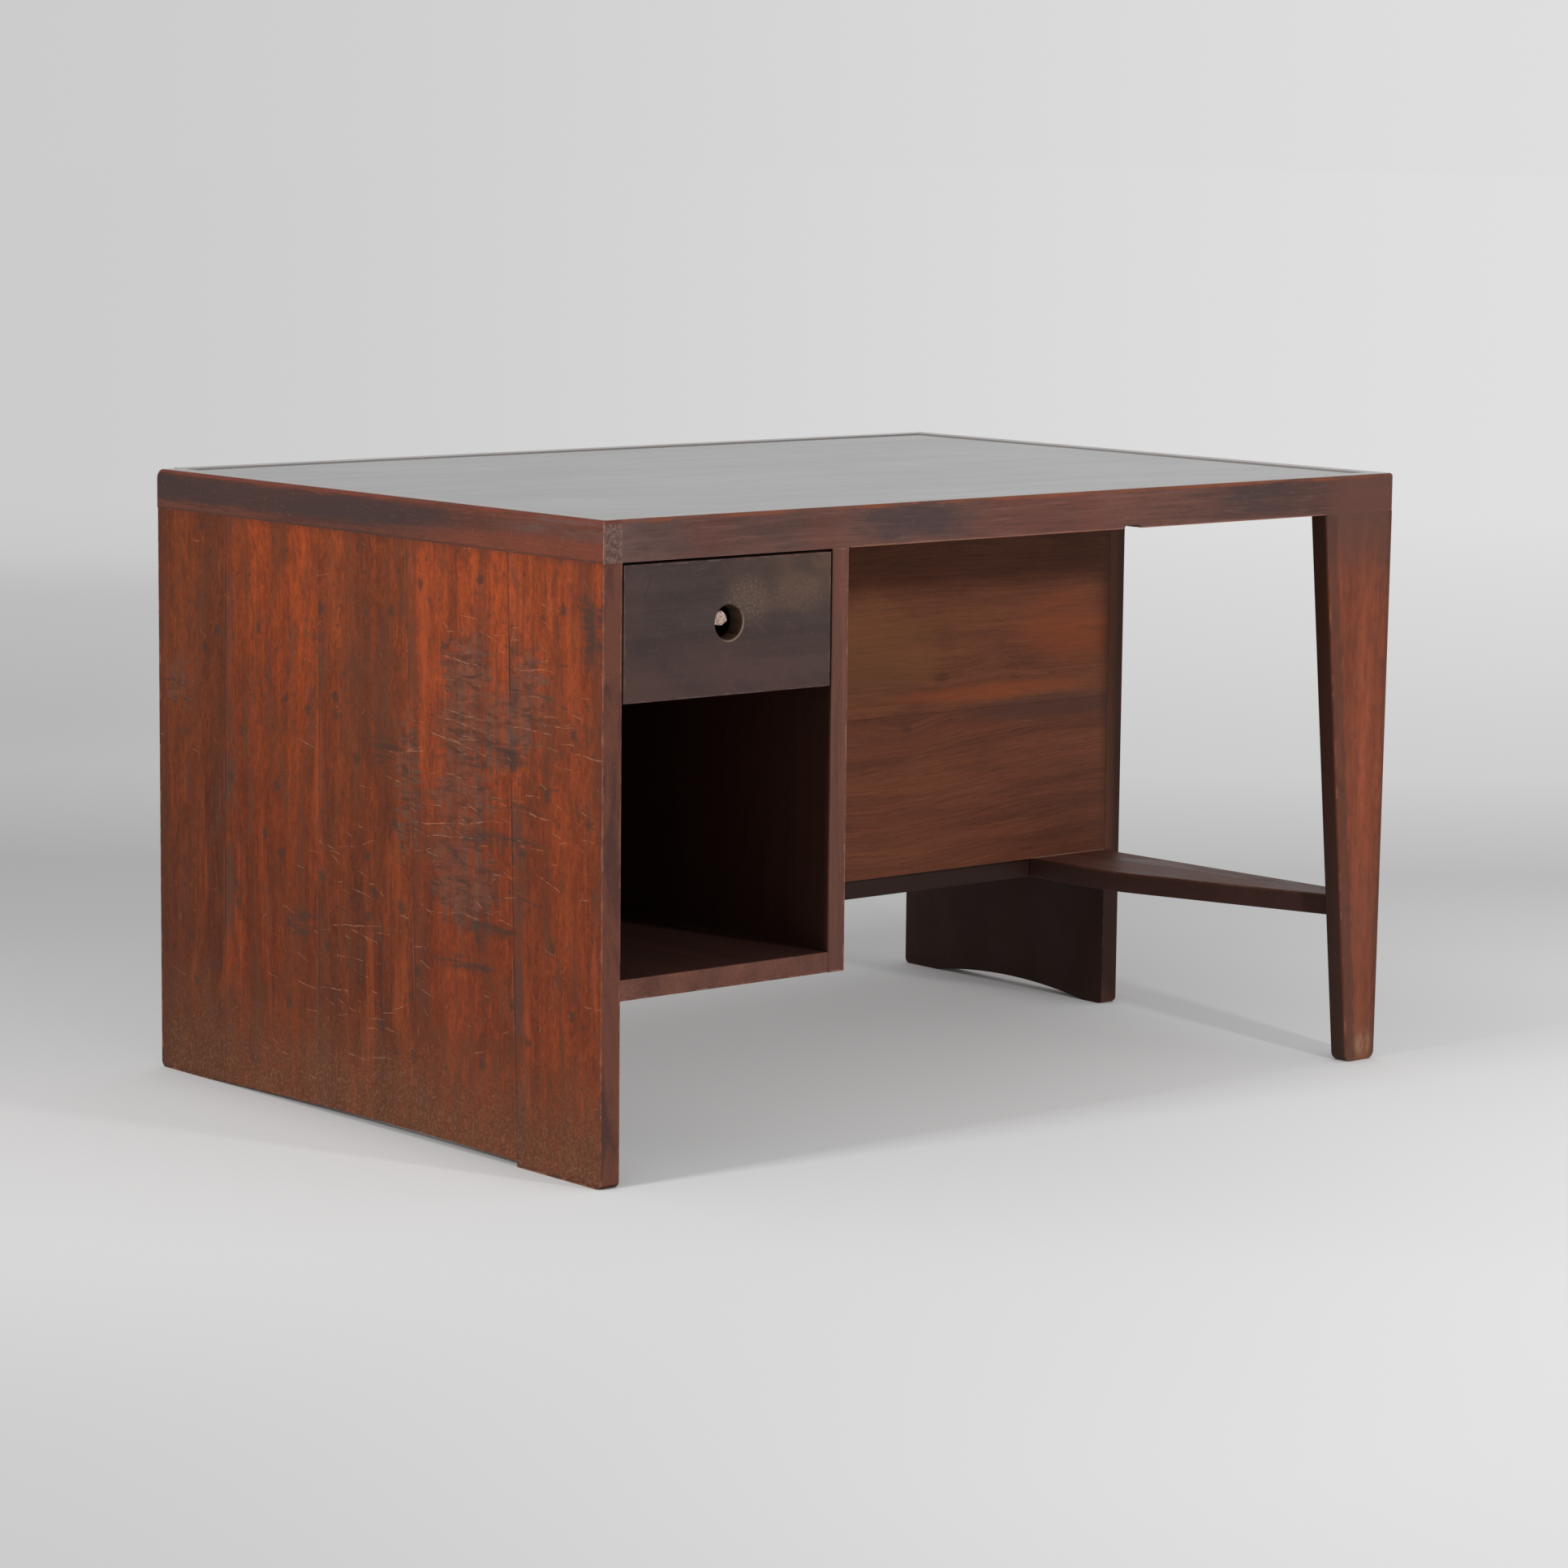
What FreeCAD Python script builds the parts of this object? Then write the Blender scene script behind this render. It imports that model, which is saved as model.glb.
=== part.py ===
import FreeCAD, Part
import os
import Sketcher

# Pigeonhole desk in solid teak with a leather top.
# X runs along the desk from the gable to the leg, Y from the sitter's side to the visitor's side, Z up.
# The origin is on the floor under the middle of the top. Millimetres throughout.

doc = FreeCAD.newDocument("PigeonholeDesk")
sheet = doc.addObject("Spreadsheet::Sheet", "Sizes")
size_names = []
nodes = []


class Length:
    """A size or a place: its value in millimetres and the sheet formula that keeps it."""

    def __init__(self, value, formula):
        self.value = value
        self.formula = formula

    def __add__(self, other):
        other = as_length(other)
        return Length(self.value + other.value, f"({self.formula} + {other.formula})")

    def __sub__(self, other):
        other = as_length(other)
        return Length(self.value - other.value, f"({self.formula} - {other.formula})")

    def __mul__(self, other):
        other = as_length(other)
        return Length(self.value * other.value, f"({self.formula} * {other.formula})")

    def __truediv__(self, other):
        other = as_length(other)
        return Length(self.value / other.value, f"({self.formula} / {other.formula})")

    def __neg__(self):
        return as_length(0) - self


def as_length(item):
    return item if isinstance(item, Length) else Length(item, repr(item))


def size(name, value):
    """A driving dimension, kept under its own name in the next cell of the sheet."""
    size_names.append(name)
    cell = f"A{len(size_names)}"
    sheet.set(cell, str(value))
    sheet.setAlias(cell, name)
    return Length(value, f"Sizes.{name}")


# Overall sizes
desk_width = size("desk_width", 1215)
desk_depth = size("desk_depth", 860)
desk_height = size("desk_height", 720)

# Top: a frame of rails round boards that are covered with leather
rail_width = size("rail_width", 25)
rail_height = size("rail_height", 46)
rail_ease = size("rail_ease", 4)
rail_end_round = size("rail_end_round", 12)
chip_place = size("chip_place", 760)
chip_long = size("chip_long", 31)
chip_high = size("chip_high", 4)
chip_slope = size("chip_slope", 6)
rail_tenon_thick = size("rail_tenon_thick", 12)
rail_tenon_long = size("rail_tenon_long", 12)
rail_tenon_shoulder = size("rail_tenon_shoulder", 8)
top_board_thick = size("top_board_thick", 20)
leather_thick = size("leather_thick", 2)
leather_margin = size("leather_margin", 1.5)
rim_lip = size("rim_lip", 1)
side_bearer_width = size("side_bearer_width", 25)
cross_bearer_width = size("cross_bearer_width", 45)
cleat_width = size("cleat_width", 20)

# Left gable: five upright boards. The front one stands on the floor, the others are arched to the back foot.
# Each joint's share of the gable's depth is given at the foot and at the top, because the boards taper.
gable_thick = size("gable_thick", 25)
gable_back_inset = size("gable_back_inset", 4)
gable_joint_foot_shares = [size("gable_joint_1_foot_share", 0.173), size("gable_joint_2_foot_share", 0.387),
                           size("gable_joint_3_foot_share", 0.616), size("gable_joint_4_foot_share", 0.841)]
gable_joint_top_shares = [size("gable_joint_1_top_share", 0.196), size("gable_joint_2_top_share", 0.415),
                          size("gable_joint_3_top_share", 0.611), size("gable_joint_4_top_share", 0.833)]
gable_arch_step = size("gable_arch_step", 6.5)
gable_arch_bow = size("gable_arch_bow", 4.25)
gable_foot_back = size("gable_foot_back", 81)
foot_round = size("foot_round", 8)

# Right end panel: two equal upright boards behind the modesty panel
end_thick = size("end_thick", 25)
end_back_inset = size("end_back_inset", 12)
end_arch_bow = size("end_arch_bow", 12)
end_foot_front = size("end_foot_front", 36)
end_foot_back = size("end_foot_back", 63)

# Front leg, tapered on both edges, and the foot rail behind it: broad at the rack, then tapered to the leg
leg_thick = size("leg_thick", 27)
leg_top_width = size("leg_top_width", 115.5)
leg_foot_width = size("leg_foot_width", 49)
leg_outer_taper = size("leg_outer_taper", 7)
leg_foot_round = size("leg_foot_round", 10)
leg_ease = size("leg_ease", 3)
leg_tenon_width = size("leg_tenon_width", 60)
leg_tenon_inset = size("leg_tenon_inset", 15)
leg_tenon_long = size("leg_tenon_long", 26)
stretcher_thick = size("stretcher_thick", 25)
stretcher_front_width = size("stretcher_front_width", 42)
stretcher_front_inset = size("stretcher_front_inset", 10.5)
stretcher_back_width = size("stretcher_back_width", 122.5)
stretcher_broad_long = size("stretcher_broad_long", 129)
stretcher_bend_round = size("stretcher_bend_round", 300)
stretcher_tenon_thick = size("stretcher_tenon_thick", 10)
stretcher_tenon_width = size("stretcher_tenon_width", 34)
stretcher_tenon_long = size("stretcher_tenon_long", 15)
stretcher_tongue_width = size("stretcher_tongue_width", 90)

# Modesty panel and the rack of pigeonholes behind it
platform_height = size("platform_height", 203)
modesty_thick = size("modesty_thick", 22)
modesty_lower_board = size("modesty_lower_board", 201)
rack_floor_thick = size("rack_floor_thick", 25)
rack_floor_setback = size("rack_floor_setback", 12)
rack_back_inset = size("rack_back_inset", 18)
lower_hole_height = size("lower_hole_height", 232)
shelf_thick = size("shelf_thick", 20)
divider_thick = size("divider_thick", 20)
divider_setback = size("divider_setback", 30)
divider_housing = size("divider_housing", 4)
rack_columns = 3

# Pedestal under the left end, with one drawer over an open compartment
pedestal_width = size("pedestal_width", 293.5)
pedestal_panel_thick = size("pedestal_panel_thick", 23)
pedestal_floor_thick = size("pedestal_floor_thick", 23)
housing_deep = size("housing_deep", 6)
housing_stop = size("housing_stop", 12)

# Drawer, hung on runners that enter grooves in its sides
drawer_height = size("drawer_height", 148)
drawer_length = size("drawer_length", 430)
drawer_back_room = size("drawer_back_room", 34)
drawer_side_gap = size("drawer_side_gap", 2.5)
drawer_top_gap = size("drawer_top_gap", 3)
drawer_front_thick = size("drawer_front_thick", 22)
drawer_side_thick = size("drawer_side_thick", 14)
drawer_side_inset = size("drawer_side_inset", 1)
drawer_side_foot = size("drawer_side_foot", 2)
drawer_side_drop = size("drawer_side_drop", 4)
drawer_back_thick = size("drawer_back_thick", 12)
drawer_back_inset = size("drawer_back_inset", 6)
drawer_back_housing = size("drawer_back_housing", 4)
drawer_bottom_thick = size("drawer_bottom_thick", 6)
drawer_bottom_rise = size("drawer_bottom_rise", 10)
drawer_bottom_groove = size("drawer_bottom_groove", 5)
finger_hole_diameter = size("finger_hole_diameter", 38)
finger_hole_height = size("finger_hole_height", 79)
finger_hole_ease = size("finger_hole_ease", 2)
tail_long = size("tail_long", 15)
tail_width = size("tail_width", 24)
tail_taper = size("tail_taper", 2.5)
tail_count = 4
runner_height = size("runner_height", 14)
runner_drop = size("runner_drop", 64)
runner_play = size("runner_play", 0.3)
runner_groove = size("runner_groove", 6)
runner_land = size("runner_land", 16)

# Joints and fastenings used all over the desk
tongue_thick = size("tongue_thick", 8)
tongue_deep = size("tongue_deep", 8)
joint_room = size("joint_room", 0.5)
dowel_radius = size("dowel_radius", 5)
dowel_half = size("dowel_half", 22)
screw_radius = size("screw_radius", 2)
screw_head_radius = size("screw_head_radius", 4)
screw_head_deep = size("screw_head_deep", 3)
screw_long = size("screw_long", 20)
fastener_room = size("fastener_room", 0.15)
runner_screws_each = 3

# Places worked out from the sizes
left_outside = -desk_width / 2
right_outside = desk_width / 2
front = -desk_depth / 2
back = desk_depth / 2
floor = as_length(0)

rail_bottom = desk_height - rail_height
left_rail_inside = left_outside + rail_width
right_rail_inside = right_outside - rail_width
front_rail_inside = front + rail_width
back_rail_inside = back - rail_width
leather_top_face = desk_height - rim_lip
leather_bottom = leather_top_face - leather_thick
top_board_bottom = leather_bottom - top_board_thick

gable_inside = left_outside + gable_thick
gable_back = back - gable_back_inset
gable_depth = gable_back - front
gable_joints = [(front + gable_depth * foot, front + gable_depth * top)
                for foot, top in zip(gable_joint_foot_shares, gable_joint_top_shares)]
end_inside = right_outside - end_thick
end_back = back - end_back_inset

modesty_front = front + drawer_length + drawer_back_room
modesty_back = modesty_front + modesty_thick
rack_front = modesty_front + rack_floor_setback
rack_back = back - rack_back_inset
rack_middle = (rack_front + rack_back) / 2
rack_floor_bottom = platform_height - rack_floor_thick
shelf_bottom = platform_height + lower_hole_height
shelf_top = shelf_bottom + shelf_thick
shelf_middle = (modesty_back + rack_back) / 2
end_middle = (modesty_front + end_back) / 2

pedestal_inside = gable_inside + pedestal_width
pedestal_outside = pedestal_inside + pedestal_panel_thick
pedestal_floor_top = platform_height + pedestal_floor_thick

leg_left = right_outside - leg_top_width
leg_back = front + leg_thick
stretcher_left = end_inside - stretcher_back_width
stretcher_middle = platform_height - stretcher_thick / 2

drawer_left = gable_inside + drawer_side_gap
drawer_right = pedestal_inside - drawer_side_gap
drawer_top = rail_bottom - drawer_top_gap
drawer_bottom = drawer_top - drawer_height
drawer_front_back = front + drawer_front_thick
drawer_end = front + drawer_length
side_bottom = drawer_bottom + drawer_side_foot
side_top = drawer_top - drawer_side_drop
side_height = side_top - side_bottom
left_side = (drawer_left + drawer_side_inset, drawer_left + drawer_side_inset + drawer_side_thick)
right_side = (drawer_right - drawer_side_inset - drawer_side_thick, drawer_right - drawer_side_inset)
tray_bottom = side_bottom + drawer_bottom_rise
tray_top = tray_bottom + drawer_bottom_thick
runner_top = side_top - runner_drop
runner_bottom = runner_top - runner_height
runner_front = drawer_front_back + runner_land + runner_play


# Building blocks

def place(item, x, y, z):
    """Ties the item's position to the sheet."""
    for axis, length in (("x", x), ("y", y), ("z", z)):
        item.setExpression(f"Placement.Base.{axis}", as_length(length).formula)


def block(name, x, y, z):
    """A rectangular piece between a low and a high place on each axis."""
    item = doc.addObject("Part::Box", name)
    item.setExpression("Length", (x[1] - x[0]).formula)
    item.setExpression("Width", (y[1] - y[0]).formula)
    item.setExpression("Height", (z[1] - z[0]).formula)
    place(item, x[0], y[0], z[0])
    return item


def leaning(name, low, high, x, z):
    """An upright board whose edges along Y may lean: each is one place, or its places at foot and top."""
    low_foot, low_top = low if isinstance(low, tuple) else (low, low)
    high_foot, high_top = high if isinstance(high, tuple) else (high, high)
    item = doc.addObject("Part::Wedge", name)
    # A third of a turn about the diagonal stands the wedge up: its own X lies along Y, its Y along Z
    item.Placement.Rotation = FreeCAD.Rotation(FreeCAD.Vector(1, 1, 1), 120)
    for side, length in (("Xmin", low_foot), ("Xmax", high_foot), ("X2min", low_top), ("X2max", high_top),
                         ("Ymin", z[0]), ("Ymax", z[1]),
                         ("Zmin", x[0]), ("Zmax", x[1]), ("Z2min", x[0]), ("Z2max", x[1])):
        item.setExpression(side, length.formula)
    return item


def group(name, items):
    item = doc.addObject("Part::Compound", name)
    item.Links = items
    return item


def fuse(name, items):
    item = doc.addObject("Part::MultiFuse", name)
    item.Shapes = items
    return item


def cut(name, base, tools):
    item = doc.addObject("Part::Cut", name)
    item.Base = base
    item.Tool = tools[0] if len(tools) == 1 else group(name + "_tools", tools)
    return item


def common(name, first, second):
    item = doc.addObject("Part::Common", name)
    item.Base = first
    item.Tool = second
    return item


def keep(item):
    """Marks a finished sub-part, whose label names its file."""
    nodes.append(item)
    return item


def sketch_on(body, role, name):
    plane = next(item for item in body.Origin.OriginFeatures if item.Role == role)
    sketch = body.newObject("Sketcher::SketchObject", name)
    sketch.AttachmentSupport = [(plane, "")]
    sketch.MapMode = "FlatFace"
    return sketch


def bind(sketch, constraint, length):
    index = sketch.addConstraint(constraint)
    sketch.setExpression(f"Constraints[{index}]", length.formula)


def pin(sketch, edge, end, corner):
    """Holds one end of a sketched edge at its corner, measured from the sketch's origin."""
    for kind, axis, length in (("DistanceX", -2, corner[0]), ("DistanceY", -1, corner[1])):
        if isinstance(length, Length):
            bind(sketch, Sketcher.Constraint(kind, -1, 1, edge, end, length.value), length)
        else:
            sketch.addConstraint(Sketcher.Constraint("PointOnObject", edge, end, axis))


def outline(sketch, corners, bow=None):
    """Draws a closed outline. With a bow, its first edge is an arch that stands that far off its chord."""
    points = [FreeCAD.Vector(as_length(u).value, as_length(v).value, 0) for u, v in corners]
    count = len(points)
    for index in range(count):
        start = points[index]
        end = points[(index + 1) % count]
        if bow and index == 0:
            crown = (start + end) / 2 + FreeCAD.Vector(0, bow.value, 0)
            sketch.addGeometry(Part.Arc(start, crown, end))
        else:
            sketch.addGeometry(Part.LineSegment(start, end))
    for index in range(count):
        sketch.addConstraint(Sketcher.Constraint("Coincident", index, 2, (index + 1) % count, 1))
        pin(sketch, index, 1, corners[index])
    if bow:
        half_span = (corners[0][0] - corners[1][0]) / 2
        half_step = (as_length(corners[1][1]) - corners[0][1]) / 2
        radius = (half_span * half_span + half_step * half_step + bow * bow) / (bow * 2)
        bind(sketch, Sketcher.Constraint("Radius", 0, radius.value), radius)


def board(name, role, corners, thick, at, bow=None, flip=False):
    """A flat board: an outline on one of its own planes, padded to its thickness."""
    body = doc.addObject("PartDesign::Body", name)
    sketch = sketch_on(body, role, name + "_outline")
    outline(sketch, corners, bow)
    pad = body.newObject("PartDesign::Pad", name + "_pad")
    pad.Profile = sketch
    pad.Reversed = flip
    pad.setExpression("Length", thick.formula)
    place(body, *at)
    return body


def round_edges(body, name, radius, wanted):
    """Rounds the edges of the body for which wanted(box of the edge) is true."""
    doc.recompute()
    tip = body.Tip
    edges = [f"Edge{i}" for i, edge in enumerate(tip.Shape.Edges, 1) if wanted(edge.BoundBox)]
    fillet = body.newObject("PartDesign::Fillet", name)
    fillet.Base = (tip, edges)
    fillet.setExpression("Radius", radius.formula)


def near(first, second):
    """True where two measures are the same to a thousandth of a millimetre."""
    return abs(first - as_length(second).value) < 0.001


def around(middle, width):
    return (middle - width / 2, middle + width / 2)


def boards(names, whole, spans, split, thick, joints):
    """Splits a panel into tongued and grooved boards, in order along the split axis.

    A joint is one place, or for an upright panel a pair of places at its foot and at its top.
    """
    edges = [spans[split][0], *joints, spans[split][1]]
    across = around((spans[thick][0] + spans[thick][1]) / 2, tongue_thick)

    def strip(label, low, high, depth):
        if isinstance(low, tuple) or isinstance(high, tuple):
            return leaning(label, low, high, depth, spans["z"])
        return block(label, **{**spans, split: (low, high), thick: depth})

    def beyond(place, step):
        return tuple(end + step for end in place) if isinstance(place, tuple) else place + step

    for index, name in enumerate(names):
        low = edges[index]
        high = edges[index + 1]
        blank = strip(name + "_blank", low, high, spans[thick])
        if index < len(joints):
            tongue = strip(name + "_tongue", high, beyond(high, tongue_deep), across)
            blank = fuse(name + "_tongued", [blank, tongue])
        if index > 0:
            groove = strip(name + "_groove", low, beyond(low, tongue_deep + joint_room), across)
            blank = cut(name + "_grooved", blank, [groove])
        keep(common(name, whole, blank))


# Dowels that stand between the upright panels and the rails

def board_middles(low, joints, high):
    edges = [low, *joints, high]
    return [(edges[i] + edges[i + 1]) / 2 for i in range(len(edges) - 1)]


def dowels(name, room):
    """All the dowels, or with room their holes."""
    gable_middles = board_middles(front, [top for foot, top in gable_joints], gable_back)
    end_middles = board_middles(modesty_front, [end_middle], end_back)
    places = [(left_outside + gable_thick / 2, y) for y in gable_middles]
    places += [(right_outside - end_thick / 2, y) for y in end_middles]
    rods = []
    for index, (x, y) in enumerate(places):
        rod = doc.addObject("Part::Cylinder", f"{name}_{index}")
        rod.setExpression("Radius", (dowel_radius + room).formula)
        rod.setExpression("Height", ((dowel_half + room) * 2).formula)
        place(rod, x, y, rail_bottom - dowel_half - room)
        rods.append(rod)
    return group(name, rods)


keep(dowels("panel_dowels", as_length(0)))
dowel_holes = dowels("dowel_holes", fastener_room)


# Screws that hold the drawer runners to the pedestal walls

left_runner_face = left_side[0] + runner_groove - runner_play
right_runner_face = right_side[1] - runner_groove + runner_play


def screw(name, x, y, z, turn, room):
    """A countersunk screw driven along X from its head, or with room its hole."""
    head = doc.addObject("Part::Cone", name + "_head")
    head.setExpression("Radius1", (screw_head_radius + room).formula)
    head.setExpression("Radius2", (screw_radius + room).formula)
    head.setExpression("Height", screw_head_deep.formula)
    shank = doc.addObject("Part::Cylinder", name + "_shank")
    shank.setExpression("Radius", (screw_radius + room).formula)
    shank.setExpression("Height", (screw_long + room).formula)
    for item in (head, shank):
        item.Placement.Rotation = FreeCAD.Rotation(FreeCAD.Vector(0, 1, 0), turn)
        place(item, x, y, z)
    return fuse(name, [head, shank])


def runner_screws(name, room):
    runner_length = modesty_front - runner_front
    screws = []
    for side, face, turn in (("left", left_runner_face, -90), ("right", right_runner_face, 90)):
        for index in range(runner_screws_each):
            y = runner_front + runner_length * (index + 0.5) / runner_screws_each
            z = (runner_top + runner_bottom) / 2
            screws.append(screw(f"{name}_{side}_{index}", face, y, z, turn, room))
    return group(name, screws)


keep(runner_screws("runner_screws", as_length(0)))
screw_holes = runner_screws("screw_holes", fastener_room)


# Rack of pigeonholes: floor, shelf and dividers

inner_span = (gable_inside, end_inside)
housed_span = (gable_inside - housing_deep, end_inside + housing_deep)
hole_width = (end_inside - gable_inside - divider_thick * (rack_columns - 1)) / rack_columns
divider_depth = (modesty_back, rack_back - divider_setback)
floor_spans = {"x": housed_span, "y": (rack_front, rack_back), "z": (rack_floor_bottom, platform_height)}
shelf_spans = {"x": housed_span, "y": (modesty_back, rack_back), "z": (shelf_bottom, shelf_top)}

dividers = []
for column in range(1, rack_columns):
    low = gable_inside + hole_width * column + divider_thick * (column - 1)
    across = (low, low + divider_thick)
    lower = (platform_height - divider_housing, shelf_bottom + divider_housing)
    upper = (shelf_top - divider_housing, top_board_bottom)
    dividers.append(keep(block(f"rack_divider_lower_{column}", across, divider_depth, lower)))
    dividers.append(keep(block(f"rack_divider_upper_{column}", across, divider_depth, upper)))

stretcher_tongue_x = around((stretcher_left + end_inside) / 2, stretcher_tongue_width)
stretcher_tongue_z = around(stretcher_middle, tongue_thick)
stretcher_tongue = block("stretcher_tongue", stretcher_tongue_x,
                         (rack_front, rack_front + tongue_deep), stretcher_tongue_z)
stretcher_slot = block("stretcher_slot", stretcher_tongue_x,
                       (rack_front, rack_front + tongue_deep + joint_room), stretcher_tongue_z)

rack_floor = cut("rack_floor", block("rack_floor_whole", **floor_spans), [*dividers, stretcher_slot])
boards(["rack_floor_board_front", "rack_floor_board_back"], rack_floor, floor_spans, "y", "z",
       [rack_middle])
rack_shelf = cut("rack_shelf", block("rack_shelf_whole", **shelf_spans), dividers)
boards(["rack_shelf_board_front", "rack_shelf_board_back"], rack_shelf, shelf_spans, "y", "z",
       [shelf_middle])

modesty_spans = {"x": inner_span, "y": (modesty_front, modesty_back), "z": (platform_height, rail_bottom)}
boards(["modesty_board_lower", "modesty_board_upper"], block("modesty_whole", **modesty_spans),
       modesty_spans, "z", "y", [platform_height + modesty_lower_board])


# Pedestal: floor housed in the gable and in the side panel

pedestal_depth = (front, modesty_front)
pedestal_floor_rise = (platform_height, pedestal_floor_top)
pedestal_tongues = block("pedestal_tongues", (gable_inside - housing_deep, pedestal_inside + housing_deep),
                         (front + housing_stop, modesty_front), pedestal_floor_rise)
pedestal_board = block("pedestal_board", (gable_inside, pedestal_inside), pedestal_depth, pedestal_floor_rise)
keep(fuse("pedestal_floor", [pedestal_board, pedestal_tongues]))
pedestal_panel = block("pedestal_panel", (pedestal_inside, pedestal_outside), pedestal_depth,
                       (platform_height, rail_bottom))
keep(cut("pedestal_side_panel", pedestal_panel, [pedestal_tongues, screw_holes]))


# Upright panels with arched feet

def arched_panel(name, x, y, foot_front, foot_back, bow, thick, step=None):
    """A panel that stands on a front and a back foot, with an arch between them.

    With a step, the arch meets the front foot at that height above the floor.
    """
    depth = y[1] - y[0]
    arch = [(depth - foot_back, 0), (foot_front, 0)]
    if step:
        arch.insert(1, (foot_front, step))
    corners = arch + [(0, 0), (0, rail_bottom), (depth, rail_bottom), (depth, 0)]
    body = board(name, "YZ_Plane", corners, thick, (x, y[0], floor), bow)

    def is_foot_corner(box):
        return near(box.ZMax, 0) and near(box.YLength, 0) and (near(box.YMin, 0) or near(box.YMax, depth))

    round_edges(body, name + "_feet", foot_round, is_foot_corner)
    return body


gable_outline = arched_panel("gable_outline", left_outside, (front, gable_back),
                             gable_depth * gable_joint_foot_shares[0], gable_foot_back, gable_arch_bow,
                             gable_thick, gable_arch_step)
gable = cut("gable", gable_outline,
            [block("gable_floor_housing", **floor_spans), block("gable_shelf_housing", **shelf_spans),
             pedestal_tongues, dowel_holes, screw_holes])
boards([f"gable_board_{number}" for number in range(1, len(gable_joints) + 2)], gable,
       {"x": (left_outside, gable_inside), "y": (front, gable_back), "z": (floor, rail_bottom)},
       "y", "x", gable_joints)

end_outline = arched_panel("end_outline", end_inside, (modesty_front, end_back), end_foot_front,
                           end_foot_back, end_arch_bow, end_thick)
end_panel = cut("end_panel", end_outline,
                [block("end_floor_housing", **floor_spans), block("end_shelf_housing", **shelf_spans),
                 dowel_holes])
boards(["end_board_front", "end_board_back"], end_panel,
       {"x": (end_inside, right_outside), "y": (modesty_front, end_back), "z": (floor, rail_bottom)},
       "y", "x", [end_middle])


# Front leg, tenoned up into the front rail, and the foot rail that is tenoned into it

leg_inner_foot = leg_top_width - leg_outer_taper - leg_foot_width
leg_outline = board("leg_outline", "XZ_Plane",
                    [(leg_inner_foot, 0), (leg_inner_foot + leg_foot_width, 0),
                     (leg_top_width, rail_bottom), (0, rail_bottom)],
                    leg_thick, (leg_left, front, floor), flip=True)
round_edges(leg_outline, "leg_foot", leg_foot_round, lambda box: near(box.ZMax, 0) and near(box.XLength, 0))
round_edges(leg_outline, "leg_edges", leg_ease,
            lambda box: near(box.YLength, 0) and not near(box.ZMin, rail_bottom))

rail_middle = front + rail_width / 2
leg_tenon_x = (leg_left + leg_tenon_inset, leg_left + leg_tenon_inset + leg_tenon_width)
leg_tenon_y = around(rail_middle, rail_tenon_thick)
leg_tenon = block("leg_tenon", leg_tenon_x, leg_tenon_y, (rail_bottom, rail_bottom + leg_tenon_long))
leg_mortise = block("leg_mortise", leg_tenon_x, leg_tenon_y,
                    (rail_bottom, rail_bottom + leg_tenon_long + joint_room))

stretcher_run = rack_front - leg_back
stretcher_bend = modesty_front - stretcher_broad_long - leg_back
stretcher_front_right = right_outside - stretcher_front_inset - stretcher_left
stretcher_outline = board("stretcher_outline", "XY_Plane",
                          [(stretcher_front_right - stretcher_front_width, 0), (stretcher_front_right, 0),
                           (stretcher_back_width, modesty_front - leg_back),
                           (stretcher_back_width, stretcher_run), (0, stretcher_run), (0, stretcher_bend)],
                          stretcher_thick, (stretcher_left, leg_back, platform_height - stretcher_thick))
round_edges(stretcher_outline, "stretcher_bend", stretcher_bend_round,
            lambda box: near(box.XMax, 0) and near(box.YMin, stretcher_bend) and near(box.YLength, 0))
stretcher_tenon_x = around(right_outside - stretcher_front_inset - stretcher_front_width / 2,
                           stretcher_tenon_width)
stretcher_tenon_z = around(stretcher_middle, stretcher_tenon_thick)
stretcher_tenon = block("stretcher_tenon", stretcher_tenon_x,
                        (leg_back - stretcher_tenon_long, leg_back), stretcher_tenon_z)
stretcher_mortise = block("stretcher_mortise", stretcher_tenon_x,
                          (leg_back - stretcher_tenon_long - joint_room, leg_back), stretcher_tenon_z)
keep(fuse("stretcher", [stretcher_outline, stretcher_tenon, stretcher_tongue]))
leg_with_tenon = fuse("leg_with_tenon", [leg_outline, leg_tenon])
keep(cut("front_leg", leg_with_tenon, [stretcher_mortise]))


# Top frame: rails with eased outer edges, tenoned together

def rail(name, x, y, outer_sides, corner=None, end_round=None):
    """A rail whose upper edges are eased on its outer sides, and at an outer corner.

    With an end round, its back end is rounded over first.
    """
    long = x[1] - x[0]
    deep = y[1] - y[0]
    body = board(name, "XY_Plane", [(0, 0), (long, 0), (long, deep), (0, deep)], rail_height,
                 (x[0], y[0], rail_bottom))
    sides = {"left": lambda box: near(box.XMax, 0), "right": lambda box: near(box.XMin, long),
             "front": lambda box: near(box.YMax, 0), "back": lambda box: near(box.YMin, deep)}
    if corner:
        round_edges(body, name + "_corner", rail_ease,
                    lambda box: all(sides[side](box) for side in corner) and not near(box.ZLength, 0))

    if end_round:
        round_edges(body, name + "_back_end", end_round,
                    lambda box: near(box.ZMin, rail_height) and sides["back"](box))

    def is_outer(box):
        turns = not near(box.XLength, 0) and not near(box.YLength, 0)
        return near(box.ZMin, rail_height) and (turns or any(sides[side](box) for side in outer_sides))

    round_edges(body, name + "_ease", rail_ease, is_outer)
    return body


def stub_tenon(name, x, y):
    """A tenon within the height of the rails."""
    rise = (rail_bottom + rail_tenon_shoulder, desk_height - rail_tenon_shoulder - rail_ease)
    return block(name, x, y, rise)


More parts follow.
